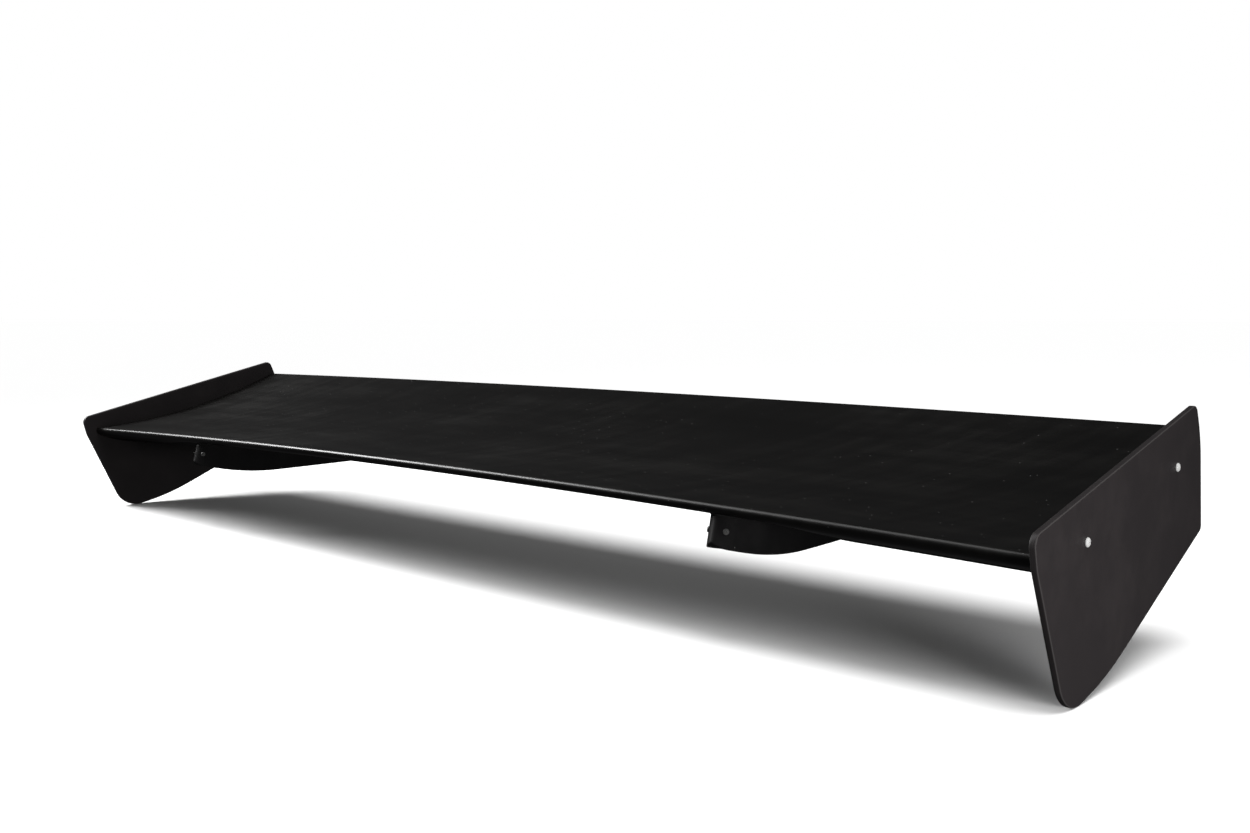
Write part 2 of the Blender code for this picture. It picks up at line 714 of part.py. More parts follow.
def make_plate_fasteners():
    """Two button-head screws and two threaded inserts hold each end plate."""
    half = END_RIB_T / 2.0 - GAP
    for label, side in SIDES:
        out = (side, 0.0, 0.0)
        for number, (c, h) in enumerate(PLATE_SCREWS, 1):
            head = to_world(side * (SPAN / 2.0 + GAP), c, h)
            screw = lathe(button_screw_profile(M4, PLATE_SCREW_LENGTH))
            place(f"plate_screw_{label}_{number}", screw, STAINLESS, head, out)
            middle = to_world(side * (BLADE_END - END_RIB_T / 2.0), c, h)
            insert = sleeve_mesh(M4[0], INSERT_R, half)
            place(f"plate_insert_{label}_{number}", insert, ZINC, middle, out)


def make_web_bolts():
    """Two bolts and two nuts clamp each web between its pair of ribs."""
    reach = WEB_T / 2.0 + GAP + PEDESTAL_RIB_T + GAP
    for label, side in SIDES:
        offset = Vector((side * reach, 0.0, 0.0))
        for number, centre in enumerate(web_bolts(side), 1):
            bolt = lathe(button_screw_profile(M6, 2.0 * reach + WEB_BOLT_TAIL))
            place(f"web_bolt_{label}_{number}", bolt, ZINC, Vector(centre) + offset, offset)
            nut = nut_mesh(M6[0], NUT_HALF_FLATS, NUT_HEIGHT)
            place(f"web_nut_{label}_{number}", nut, ZINC, Vector(centre) - offset, -offset)


def make_cross_screws():
    """A threaded sleeve through each web takes one screw from either side of the fairing."""
    t = (CROSS_SCREW[0] - PEDESTAL_FRONT_BOTTOM) / PEDESTAL_LENGTH
    seat = pedestal_half_width(t) + CROSS_SCREW_SEAT
    for label, side in SIDES:
        centre = cross_screw_centre(side)
        sleeve = sleeve_mesh(M4[0], SLEEVE_R, CROSS_SLEEVE / 2.0)
        place(f"cross_sleeve_{label}", sleeve, ALUMINIUM, centre, ALONG_X)
        for place_name, way in (("inner", -side), ("outer", side)):
            offset = Vector((way * seat, 0.0, 0.0))
            screw = lathe(button_screw_profile(M4, CROSS_SCREW_LENGTH))
            place(f"cross_screw_{label}_{place_name}", screw, STAINLESS, centre + offset, offset)


def make_foot_pins():
    """Two pins lock each web into the slot of its foot."""
    for label, side in SIDES:
        for number, centre in enumerate(foot_pin_centres(side), 1):
            half = foot_half_width(FOOT_PINS[number - 1]) - PIN_SINK
            tip = PIN_R - PIN_CHAMFER
            rows = [(tip, -half, False), (PIN_R, PIN_CHAMFER - half, False)]
            rows += [(PIN_R, half - PIN_CHAMFER, False), (tip, half, False)]
            place(f"foot_pin_{label}_{number}", lathe(rows), STAINLESS, centre, ALONG_X)


def main():
    """Build the wing, one sub-assembly at a time."""
    clear_scene()
    make_skins()
    make_spars()
    make_end_ribs()
    make_pedestal_ribs()
    make_pedestals()
    make_webs()
    make_feet()
    make_end_plates()
    make_plate_fasteners()
    make_web_bolts()
    make_cross_screws()
    make_foot_pins()


main()
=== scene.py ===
"""The finished look of a racing rear wing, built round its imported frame.

World axes are the frame's own, in metres: X runs along the span, -Y is the leading edge and +Z is up.

The blade and the end plates are first laid out in section coordinates (x, c, h). c runs rearward along
the blade's chord and h runs up, square to it. A Geometry Nodes tree then arches them along the span and
pitches them up at the tail, which brings them onto the frame's own skins and plates.
"""
from __future__ import annotations

import logging
import math
from collections.abc import Callable, Iterable, Sequence
from dataclasses import dataclass, field
from enum import Enum

import bmesh
import bpy
from mathutils import Matrix, Vector
from mathutils.bvhtree import BVHTree


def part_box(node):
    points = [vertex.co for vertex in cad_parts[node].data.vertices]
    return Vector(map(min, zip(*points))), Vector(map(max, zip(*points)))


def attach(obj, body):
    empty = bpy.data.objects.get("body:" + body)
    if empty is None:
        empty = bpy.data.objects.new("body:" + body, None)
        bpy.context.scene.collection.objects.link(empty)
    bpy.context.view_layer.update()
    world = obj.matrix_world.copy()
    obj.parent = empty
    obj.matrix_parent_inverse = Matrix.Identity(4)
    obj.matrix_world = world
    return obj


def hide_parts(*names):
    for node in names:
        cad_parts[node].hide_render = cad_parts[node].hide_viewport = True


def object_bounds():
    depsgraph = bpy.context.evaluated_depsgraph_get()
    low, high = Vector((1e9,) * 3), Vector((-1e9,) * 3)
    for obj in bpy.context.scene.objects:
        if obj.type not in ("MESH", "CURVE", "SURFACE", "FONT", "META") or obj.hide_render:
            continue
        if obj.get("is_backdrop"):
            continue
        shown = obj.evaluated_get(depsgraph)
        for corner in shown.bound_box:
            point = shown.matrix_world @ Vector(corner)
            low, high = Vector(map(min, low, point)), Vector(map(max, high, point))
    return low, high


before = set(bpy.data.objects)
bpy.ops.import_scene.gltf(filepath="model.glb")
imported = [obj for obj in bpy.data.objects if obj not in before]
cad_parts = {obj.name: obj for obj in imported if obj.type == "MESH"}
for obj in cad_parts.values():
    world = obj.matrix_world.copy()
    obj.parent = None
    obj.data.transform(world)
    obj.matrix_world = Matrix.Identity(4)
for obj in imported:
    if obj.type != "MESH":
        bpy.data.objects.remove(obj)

LOG = logging.getLogger("rear_wing")
BODY = "root"
CAD_GAP = 0.0003
QUARTER = math.pi / 2.0
SHARP_ANGLE = math.radians(40.0)
BEVEL_ANGLE = math.radians(50.0)
CUTTER_SIDES = 40

Colour = tuple[float, float, float]
Point = tuple[float, float, float]
Seat = tuple[Vector, Vector]
Node = bpy.types.Node
NodeTree = bpy.types.NodeTree
Piece = bpy.types.Object
Socket = bpy.types.NodeSocket
Input = float | int | bool | str | Sequence[float] | Socket | None


class Side(Enum):
    """The two mirrored halves of the wing, with the sign of X on each."""

    LEFT = -1.0
    RIGHT = 1.0

    @property
    def label(self) -> str:
        """Name of the side, as the frame's nodes spell it."""
        return self.name.lower()


class Slot(Enum):
    """The record's material slots, passed along with each new piece but not read."""

    BLACK_LAMINATE = "black_laminate"
    PLATE_LAMINATE = "plate_laminate"
    STAINLESS = "stainless"
    ZINC_STEEL = "zinc_steel"


# ------------------------------------------------------------------------------------ node helpers

class TreeBuilder:
    """Adds nodes to one tree and joins them up as they are made."""

    def __init__(self, tree: NodeTree) -> None:
        """Start on a tree.

        Args:
            tree: The shader or geometry tree that nodes are added to.
        """
        self.tree = tree

    def add(
        self, kind: str, inputs: dict[int | str, Input] | None = None, **settings: object,
    ) -> Node:
        """Add one node.

        Args:
            kind: The node's Blender type name.
            inputs: A value, or a socket to join from, for each named or numbered input.
            **settings: Properties of the node itself.

        Returns:
            The new node.
        """
        node = self.tree.nodes.new(kind)
        for key, value in settings.items():
            setattr(node, key, value)
        for key, value in (inputs or {}).items():
            if isinstance(value, Socket):
                self.tree.links.new(value, node.inputs[key])
            else:
                node.inputs[key].default_value = value
        return node

    def math(self, operation: str, *values: Input) -> Socket:
        """Add a Math node and return its result."""
        return self.add("ShaderNodeMath", dict(enumerate(values)), operation=operation).outputs[0]

    def remap(
        self, value: Input, low: float, high: float, to: tuple[float, float] = (0.0, 1.0),
    ) -> Socket:
        """Ease a value from one range into another, clamped at both ends.

        Args:
            value: The value to ease.
            low: The value that gives the first result.
            high: The value that gives the second result.
            to: The two results.

        Returns:
            The eased value's socket.
        """
        inputs: dict[int | str, Input] = {0: value, 1: low, 2: high, 3: to[0], 4: to[1]}
        return self.add("ShaderNodeMapRange", inputs, interpolation_type="SMOOTHSTEP").outputs[0]

    def stretched(self, position: Input, scale: Point) -> Socket:
        """Scale a position along each axis, so that a pattern on it is drawn out."""
        return self.add("ShaderNodeVectorMath", {0: position, 1: scale}, operation="MULTIPLY").outputs[0]

    def noise(self, position: Input, scale: float, detail: float, roughness: float = 0.5) -> Socket:
        """Add a noise pattern and return its value."""
        inputs: dict[int | str, Input] = {
            "Vector": position, "Scale": scale, "Detail": detail, "Roughness": roughness}
        return self.add("ShaderNodeTexNoise", inputs).outputs["Fac"]

    def blend(self, share: Input, first: Input, second: Input) -> Socket:
        """Mix two colours and return the result."""
        node = self.add("ShaderNodeMix", {0: share, 6: first, 7: second}, data_type="RGBA")
        return node.outputs[2]

    def link(self, source: Socket, target: Socket) -> None:
        """Join an output to an input."""
        self.tree.links.new(source, target)

    def dent(self, shader: Node, height: Socket, depth: float, strength: float = 1.0) -> None:
        """Raise and lower a shader's surface by a height pattern."""
        bump = self.add("ShaderNodeBump", {"Strength": strength, "Distance": depth, "Height": height})
        self.link(bump.outputs[0], shader.inputs["Normal"])


def rgba(colour: Colour) -> tuple[float, float, float, float]:
    """Give a colour full opacity."""
    return (*colour, 1.0)


def shader_group(
    name: str,
    inputs: dict[str, tuple[str, float | None]],
    outputs: Iterable[str],
    draw: Callable[[TreeBuilder, Node], dict[str, Socket]],
) -> NodeTree:
    """Build a shader node group once and return it.

    Args:
        name: The group's name.
        inputs: Each input's socket type and first value, by name.
        outputs: Names of the float outputs.
        draw: Adds the nodes between the group's input node and its outputs.

    Returns:
        The group's tree.
    """
    found = bpy.data.node_groups.get(name)
    if found:
        return found
    tree = bpy.data.node_groups.new(name, "ShaderNodeTree")
    for label, (kind, value) in inputs.items():
        socket = tree.interface.new_socket(label, in_out="INPUT", socket_type=kind)
        if value is not None:
            socket.default_value = value
    for label in outputs:
        tree.interface.new_socket(label, in_out="OUTPUT", socket_type="NodeSocketFloat")
    build = TreeBuilder(tree)
    results = draw(build, build.add("NodeGroupInput"))
    build.add("NodeGroupOutput", dict(results))
    return tree


# ------------------------------------------------------------------------------- shared effects

ALONG_STRETCH = (3.5, 26.0, 26.0)
WIPE_STRETCH = (60.0, 7.0, 20.0)
WIPE_ANGLE = 0.5
WIPE_SHARE = 0.45
PATCH_STRETCH = (4.0, 9.0, 9.0)
PATCH_FLOOR = 0.25
PEEL_SCALE = 420.0
PEEL_SHARE = 0.06
BRUSH_STRETCH = (1900.0, 60.0, 1900.0)
STAIN_SCALE = 70.0


def draw_dust(build: TreeBuilder, given: Node) -> dict[str, Socket]:
    """Draw round specks, sparsely scattered.

    Args:
        build: The group's tree.
        given: The group's input node.

    Returns:
        The group's outputs, by name.
    """
    position, scale = given.outputs["Position"], given.outputs["Scale"]
    cells = build.add("ShaderNodeTexVoronoi", {"Vector": position, "Scale": scale})
    near = build.math("LESS_THAN", cells.outputs["Distance"], given.outputs["Speck Size"])
    lot = build.add("ShaderNodeSeparateColor", {0: cells.outputs["Color"]}).outputs[0]
    chosen = build.math("LESS_THAN", lot, given.outputs["Share"])
    return {"Mask": build.math("MULTIPLY", near, chosen)}


def dust_group() -> NodeTree:
    """The group that scatters dust specks over a surface."""
    inputs = {
        "Position": ("NodeSocketVector", None), "Scale": ("NodeSocketFloat", 160.0),
        "Speck Size": ("NodeSocketFloat", 0.12), "Share": ("NodeSocketFloat", 0.1)}
    return shader_group("dust_specks", inputs, ["Mask"], draw_dust)


def draw_smears(build: TreeBuilder, given: Node) -> dict[str, Socket]:
    """Draw wiping marks that run along X, stronger in some patches than in others.

    Args:
        build: The group's tree.
        given: The group's input node.

    Returns:
        The group's outputs, by name.
    """
    position = given.outputs["Position"]
    along = build.noise(build.stretched(position, ALONG_STRETCH), 1.0, 6.0, 0.62)
    slanted = build.add(
        "ShaderNodeVectorRotate", {"Vector": position, "Angle": WIPE_ANGLE}, rotation_type="Z_AXIS")
    wipes = build.noise(build.stretched(slanted.outputs[0], WIPE_STRETCH), 1.0, 5.0, 0.6)
    patches = build.noise(build.stretched(position, PATCH_STRETCH), 1.0, 4.0, 0.6)
    rest = build.math("MULTIPLY", along, 1.0 - WIPE_SHARE)
    marks = build.math("MULTIPLY_ADD", wipes, WIPE_SHARE, rest)
    streaks = build.remap(marks, 0.38, 0.66)
    strength = build.remap(patches, 0.35, 0.62, (PATCH_FLOOR, 1.0))
    return {"Marks": build.math("MULTIPLY", streaks, strength), "Patches": patches}


def smear_group() -> NodeTree:
    """The group that draws wiping marks along the span."""
    inputs = {"Position": ("NodeSocketVector", None)}
    return shader_group("span_smears", inputs, ["Marks", "Patches"], draw_smears)


def draw_moulding(build: TreeBuilder, given: Node) -> dict[str, Socket]:
    """Draw the slow waviness and the fine orange peel of a moulded gel coat.

    Args:
        build: The group's tree.
        given: The group's input node.

    Returns:
        The group's outputs, by name.
    """
    position = given.outputs["Position"]
    waves = build.noise(build.stretched(position, PATCH_STRETCH), 1.0, 1.5)
    peel = build.noise(position, PEEL_SCALE, 2.0)
    return {"Height": build.math("MULTIPLY_ADD", peel, PEEL_SHARE, waves)}


def moulding_group() -> NodeTree:
    """The group that gives a moulded face its slight unevenness."""
    inputs = {"Position": ("NodeSocketVector", None)}
    return shader_group("moulded_face", inputs, ["Height"], draw_moulding)


def draw_brushing(build: TreeBuilder, given: Node) -> dict[str, Socket]:
    """Draw fine scratches along Y.

    Args:
        build: The group's tree.
        given: The group's input node.

    Returns:
        The group's outputs, by name.
    """
    lines = build.noise(build.stretched(given.outputs["Position"], BRUSH_STRETCH), 1.0, 3.0, 0.7)
    stains = build.noise(given.outputs["Position"], STAIN_SCALE, 4.0)
    return {"Lines": lines, "Stains": stains}


def brushing_group() -> NodeTree:
    """The group that draws tool marks on metal."""
    inputs = {"Position": ("NodeSocketVector", None)}
    return shader_group("tool_marks", inputs, ["Lines", "Stains"], draw_brushing)


# ------------------------------------------------------------------------------------- finishes

class Finish:
    """A named finish that builds its material once."""

    name: str

    def paint(self, build: TreeBuilder, shader: Node, position: Socket) -> None:
        """Add the finish's own nodes. Each finish says what it adds."""
        raise NotImplementedError

    def material(self) -> bpy.types.Material:
        """Return the finish's material, built on first use.

        Returns:
            The material.
        """
        found = bpy.data.materials.get(self.name)
        if found:
            return found
        made = bpy.data.materials.new(self.name)
        made.use_nodes = True
        build = TreeBuilder(made.node_tree)
        position = build.add("ShaderNodeTexCoord").outputs["Object"]
        self.paint(build, made.node_tree.nodes["Principled BSDF"], position)
        return made


@dataclass(frozen=True)
class GelCoat(Finish):
    """Black moulded gel coat, wiped along the span and lightly dusted, with an optional painted highlight on
    its eased rims.
    """

    name: str
    colour: Colour
    smeared: Colour
    roughness: float
    smear_depth: float
    specular: float
    dust_share: float
    dust_colour: Colour = (0.085, 0.084, 0.082)
    dust_scale: float = 190.0
    dust_size: float = 0.10
    wave_depth: float = 0.00035
    # Painted highlight on the eased rims: its share, its colour, and the normal ranges it covers.
    rim_shine: float = 0.0
    rim_colour: Colour = (0.16, 0.155, 0.15)
    rim_face: tuple[float, float] = (0.97, 0.88)
    rim_flat: tuple[float, float] = (0.20, 0.45)

    def paint(self, build: TreeBuilder, shader: Node, position: Socket) -> None:
        """Lay the black coat, its wiping marks, its dust, any painted rim highlight and its waviness.

        Args:
            build: The material's tree.
            shader: Its Principled BSDF.
            position: Place on the surface, in the frame's axes.
        """
        smears = build.add("ShaderNodeGroup", {"Position": position}, node_tree=smear_group())
        marks = smears.outputs["Marks"]
        dust_inputs: dict[int | str, Input] = {
            "Position": position, "Scale": self.dust_scale, "Speck Size": self.dust_size,
            "Share": self.dust_share}
        dust = build.add("ShaderNodeGroup", dust_inputs, node_tree=dust_group())
        coat = build.blend(marks, rgba(self.colour), rgba(self.smeared))
        dust_and_highlight = build.blend(dust.outputs["Mask"], coat, rgba(self.dust_colour))
        # Painted highlight: the eased rims are lightened as if they caught the light.
        if self.rim_shine > 0.0:
            dust_and_highlight = build.blend(self.rim_mask(build), dust_and_highlight, rgba(self.rim_colour))
        build.link(dust_and_highlight, shader.inputs["Base Color"])
        rough = build.math("MULTIPLY_ADD", marks, self.smear_depth, self.roughness)
        rough = build.math("MULTIPLY_ADD", smears.outputs["Patches"], self.smear_depth, rough)
        build.link(rough, shader.inputs["Roughness"])
        shader.inputs["Specular IOR Level"].default_value = self.specular
        face = build.add("ShaderNodeGroup", {"Position": position}, node_tree=moulding_group())
        build.dent(shader, face.outputs["Height"], self.wave_depth)

    def rim_mask(self, build: TreeBuilder) -> Socket:
        """Mark the eased rims of a flat side panel, where a painted highlight lightens the coat.

        Args:
            build: The material's tree.

        Returns:
            The share of painted highlight: nothing on the flat faces and on the rim's own flat.
        """
        normal = build.add("ShaderNodeNewGeometry").outputs["Normal"]
        sides = build.add("ShaderNodeSeparateXYZ", {0: normal})
        turn = build.math("ABSOLUTE", sides.outputs[0])
        off_face = build.remap(turn, *self.rim_face)
        off_rim = build.remap(turn, *self.rim_flat)
        return build.math("MULTIPLY", build.math("MULTIPLY", off_face, off_rim), self.rim_shine)


@dataclass(frozen=True)
class RawLaminate(Finish):
    """Cured glass cloth in resin, with its twill weave showing."""

    name: str = "raw_laminate_finish"
    resin: Colour = (0.075, 0.082, 0.050)
    cloth: Colour = (0.13, 0.14, 0.09)
    threads_per_metre: float = 1500.0
    cloud_scale: float = 22.0
    weave_depth: float = 0.0002
    roughness: float = 0.45

    def paint(self, build: TreeBuilder, shader: Node, position: Socket) -> None:
        """Weave two crossing sets of threads and cover them in resin.

        Args:
            build: The material's tree.
            shader: Its Principled BSDF.
            position: Place on the surface, in the frame's axes.
        """
        axes = build.add("ShaderNodeSeparateXYZ", {0: position})
        across = build.math("SINE", build.math("MULTIPLY", axes.outputs[0], self.threads_per_metre))
        along = build.math("ADD", axes.outputs[1], axes.outputs[2])
        along = build.math("SINE", build.math("MULTIPLY", along, self.threads_per_metre))
        weave = build.math("MULTIPLY_ADD", build.math("MULTIPLY", across, along), 0.5, 0.5)
        clouds = build.remap(build.noise(position, self.cloud_scale, 4.0), 0.3, 0.7)
        share = build.math("MULTIPLY", weave, clouds)
        build.link(build.blend(share, rgba(self.resin), rgba(self.cloth)), shader.inputs["Base Color"])
        rough = build.math("MULTIPLY_ADD", weave, 0.12, self.roughness)
        build.link(rough, shader.inputs["Roughness"])
        build.dent(shader, weave, self.weave_depth, 0.5)


@dataclass(frozen=True)
class Plywood(Finish):
    """Sealed birch plywood, with thin plies across its thickness and grain along its face."""

    name: str = "plywood_finish"
    pale: Colour = (0.50, 0.34, 0.19)
    dark: Colour = (0.25, 0.14, 0.065)
    plies_per_metre: float = 4200.0
    grain_stretch: Point = (900.0, 22.0, 260.0)
    grain_depth: float = 0.0002
    roughness: float = 0.62

    def paint(self, build: TreeBuilder, shader: Node, position: Socket) -> None:
        """Stack the plies along X and run the grain along the chord.

        Args:
            build: The material's tree.
            shader: Its Principled BSDF.
            position: Place on the surface, in the frame's axes.
        """
        across = build.add("ShaderNodeSeparateXYZ", {0: position}).outputs[0]
        plies = build.math("SINE", build.math("MULTIPLY", across, self.plies_per_metre))
        grain = build.noise(build.stretched(position, self.grain_stretch), 1.0, 5.0, 0.6)
        share = build.math("MULTIPLY_ADD", plies, 0.18, build.remap(grain, 0.3, 0.75))
        build.link(build.blend(share, rgba(self.pale), rgba(self.dark)), shader.inputs["Base Color"])
        rough = build.math("MULTIPLY_ADD", grain, 0.2, self.roughness)
        build.link(rough, shader.inputs["Roughness"])
        build.dent(shader, grain, self.grain_depth, 0.4)


@dataclass(frozen=True)
class Metal(Finish):
    """Bare or plated metal, with tool marks and a little staining."""

    name: str
    colour: Colour
    stained: Colour
    roughness: float
    mark_depth: float
    metallic: float = 1.0

    def paint(self, build: TreeBuilder, shader: Node, position: Socket) -> None:
        """Draw the tool marks in the roughness and the staining in the colour.

        Args:
            build: The material's tree.
            shader: Its Principled BSDF.
            position: Place on the surface, in the frame's axes.
        """
        marks = build.add("ShaderNodeGroup", {"Position": position}, node_tree=brushing_group())
        stain = build.remap(marks.outputs["Stains"], 0.45, 0.72)
        build.link(build.blend(stain, rgba(self.colour), rgba(self.stained)), shader.inputs["Base Color"])
        rough = build.math("MULTIPLY_ADD", marks.outputs["Lines"], self.mark_depth, self.roughness)
        build.link(rough, shader.inputs["Roughness"])
        shader.inputs["Metallic"].default_value = self.metallic
        bump = build.add("ShaderNodeBump", {
            "Strength": 0.25, "Distance": 0.00005, "Height": marks.outputs["Lines"]})
        build.link(bump.outputs[0], shader.inputs["Normal"])


@dataclass(frozen=True)
class Bead(Finish):
    """Black adhesive, squeezed out and tooled by hand."""

    name: str = "adhesive_finish"
    colour: Colour = (0.006, 0.006, 0.006)
    greyed: Colour = (0.014, 0.014, 0.014)
    lump_scale: float = 260.0
    lump_depth: float = 0.0004
    specular: float = 0.25

    def paint(self, build: TreeBuilder, shader: Node, position: Socket) -> None:
        """Mottle the adhesive and give it a lumpy surface.

        Args:
            build: The material's tree.
            shader: Its Principled BSDF.
            position: Place on the surface, in the frame's axes.
        """
        lumps = build.noise(position, self.lump_scale, 3.0)
        build.link(build.blend(lumps, rgba(self.colour), rgba(self.greyed)), shader.inputs["Base Color"])
        build.link(build.remap(lumps, 0.3, 0.7, (0.45, 0.7)), shader.inputs["Roughness"])
        shader.inputs["Specular IOR Level"].default_value = self.specular
        build.dent(shader, lumps, self.lump_depth, 0.6)


TOP_COAT = GelCoat(
    "top_gel_coat", colour=(0.0016, 0.0015, 0.0014), smeared=(0.0036, 0.0034, 0.0031),
    roughness=0.27, smear_depth=0.09, specular=0.42, dust_share=0.10)
LOWER_COAT = GelCoat(
    "lower_gel_coat", colour=(0.0018, 0.0018, 0.0019), smeared=(0.0032, 0.0031, 0.0032),
    roughness=0.46, smear_depth=0.10, specular=0.12, dust_share=0.03)
# The plates' coat carries a painted highlight along their eased rims.
PLATE_COAT = GelCoat(
    "plate_coat", colour=(0.0130, 0.0114, 0.0118), smeared=(0.0168, 0.0146, 0.0149), roughness=0.42,
    smear_depth=0.06, specular=0.36, dust_share=0.04, wave_depth=0.00022, rim_shine=0.10)
PEDESTAL_COAT = GelCoat(
    "pedestal_coat", colour=(0.0052, 0.0050, 0.0052), smeared=(0.0090, 0.0086, 0.0088),
    roughness=0.40, smear_depth=0.10, specular=0.22, dust_share=0.03)
STAINLESS = Metal(
    "satin_stainless", colour=(0.86, 0.86, 0.85), stained=(0.74, 0.74, 0.73),
    roughness=0.38, mark_depth=0.12, metallic=0.65)
DULL_STAINLESS = Metal(
    "dull_stainless", colour=(0.12, 0.12, 0.118), stained=(0.07, 0.07, 0.068),
    roughness=0.30, mark_depth=0.12, metallic=0.55)
ZINC = Metal(
    "zinc_plate", colour=(0.60, 0.61, 0.60), stained=(0.46, 0.46, 0.43), roughness=0.30, mark_depth=0.16)
ALUMINIUM = Metal(
    "milled_aluminium", colour=(0.66, 0.67, 0.68), stained=(0.55, 0.56, 0.57),
    roughness=0.30, mark_depth=0.22)


# --------------------------------------------------------------------------------- mesh helpers

def steps(first: float, last: float, count: int) -> list[float]:
    """Evenly spaced values, both ends included."""
    return [first + (last - first) * i / count for i in range(count + 1)]


def smoothstep(low: float, high: float, value: float) -> float:
    """Ease from 0 to 1 between two limits."""
    t = min(max((value - low) / (high - low), 0.0), 1.0)
    return t * t * (3.0 - 2.0 * t)


def new_object(name: str, data: bmesh.types.BMesh) -> Piece:
    """Link a bmesh to the scene as an object whose faces point outwards.

    Args:
        name: The object's name.
        data: The mesh, which is freed.

    Returns:
        The new object.
    """
    bmesh.ops.recalc_face_normals(data, faces=data.faces)
    mesh = bpy.data.meshes.new(name)
    data.to_mesh(mesh)
    data.free()
    mesh.shade_smooth()
    mesh.set_sharp_from_angle(angle=SHARP_ANGLE)
    made = bpy.data.objects.new(name, mesh)
    bpy.context.scene.collection.objects.link(made)
    return made


def walled_panel(
    outer: Sequence[Sequence[Point]], inner: Sequence[Sequence[Point]], closed: bool,
) -> bmesh.types.BMesh:
    """Build a solid wall between two matching grids of points.

    Args:
        outer: Rows of points on the wall's outer face.
        inner: Rows of points on its inner face, in the same order.
        closed: True where each row joins up with its own start, as a tube's does.

    Returns:
        The closed wall.
    """
    data = bmesh.new()
    faces = [[[data.verts.new(point) for point in row] for row in grid] for grid in (outer, inner)]
    rows, columns = len(outer), len(outer[0])
    spans = columns if closed else columns - 1
    for grid in faces:
        for i in range(rows - 1):
            for j in range(spans):
                k = (j + 1) % columns
                data.faces.new((grid[i][j], grid[i][k], grid[i + 1][k], grid[i + 1][j]))
    near, far = faces
    for i in (0, rows - 1):
        for j in range(spans):
            k = (j + 1) % columns
            data.faces.new((near[i][j], near[i][k], far[i][k], far[i][j]))
    if not closed:
        for j in (0, columns - 1):
            for i in range(rows - 1):
                data.faces.new((near[i][j], near[i + 1][j], far[i + 1][j], far[i][j]))
    return data


def stacked_rings(rings: Sequence[Sequence[Point]]) -> bmesh.types.BMesh:
    """Join closed rings of equal length into a solid with a face at each end.

    Args:
        rings: Closed rings of points, from one end to the other.

    Returns:
        The closed solid.
    """
    data = bmesh.new()
    rows = [[data.verts.new(point) for point in ring] for ring in rings]
    count = len(rows[0])
    for near, far in zip(rows, rows[1:]):
        for i in range(count):
            j = (i + 1) % count
            data.faces.new((near[i], near[j], far[j], far[i]))
    data.faces.new(rows[0])
    data.faces.new(rows[-1])
    return data


def add_cylinders(name: str, axes: Iterable[Seat], radius: float, length: float) -> Piece:
    """Make one unseen cutter out of cylinders.

    Args:
        name: The cutter's name.
        axes: The middle and the direction of each cylinder.
        radius: Radius of the cylinders.
        length: Length of the cylinders.

    Returns:
        The cutter.
    """
    data = bmesh.new()
    for middle, along in axes:
        place = Matrix.Translation(middle) @ along.to_track_quat("Z", "Y").to_matrix().to_4x4()
        bmesh.ops.create_cone(
            data, cap_ends=True, segments=CUTTER_SIDES, radius1=radius, radius2=radius,
            depth=length, matrix=place)
    return new_object(name, data)


def cut(target: Piece, cutter: Piece) -> None:
    """Add an exact Boolean that takes a cutter out of an object.

    Args:
        target: The object that is cut.
        cutter: The object that is taken out of it.
    """
    boolean = target.modifiers.new("cut", "BOOLEAN")
    boolean.operation = "DIFFERENCE"
    boolean.solver = "EXACT"
    boolean.object = cutter


def ease_edges(target: Piece, width: float, segments: int) -> None:
    """Add a Bevel that rounds an object's sharp edges.

    Args:
        target: The object.
        width: Width of the rounding.
        segments: Number of facets across it.
    """
    bevel = target.modifiers.new("eased_edges", "BEVEL")
    bevel.limit_method = "ANGLE"
    bevel.angle_limit = BEVEL_ANGLE
    bevel.width = width
    bevel.segments = segments


def bake(source: Piece, name: str, helpers: Iterable[Piece] = ()) -> Piece:
    """Turn an object's evaluated shape into a plain mesh of its own.

    Args:
        source: The object with its modifiers, which is removed.
        name: The finished piece's name.
        helpers: Cutters and templates that are removed with it.

    Returns:
        The finished piece, with no modifiers, at the origin.
    """
    bpy.context.view_layer.update()
    graph = bpy.context.evaluated_depsgraph_get()
    mesh = bpy.data.meshes.new_from_object(
        source.evaluated_get(graph), preserve_all_data_layers=True, depsgraph=graph)
    for used in (source, *helpers):
        bpy.data.objects.remove(used, do_unlink=True)
    mesh.name = name
    mesh.shade_smooth()
    mesh.set_sharp_from_angle(angle=SHARP_ANGLE)
    made = bpy.data.objects.new(name, mesh)
    bpy.context.scene.collection.objects.link(made)
    return made


def settle(piece: Piece, finish: Finish, slot: Slot, *nodes: str) -> None:
    """Dress a finished piece and let it stand for the frame's nodes.

    Args:
        piece: The finished mesh.
        finish: Its finish.
        slot: The record's material slot that it belongs to; not used.
        *nodes: The frame's nodes that it stands for.
    """
    piece.data.materials.clear()
    piece.data.materials.append(finish.material())
    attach(piece, BODY)
    if nodes:
        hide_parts(*nodes)
    stood_for = ", ".join(nodes) or "nothing"
    LOG.info("%s: %d faces, stands for %s", piece.name, len(piece.data.polygons), stood_for)


def dress(node: str, finish: Finish) -> None:
    """Give a node that stays as the frame has it a finish."""
    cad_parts[node].material_slots[0].material = finish.material()
    LOG.info("%s keeps its shape, in %s", node, finish.name)


# ----------------------------------------------------------------------- geometry-node helpers

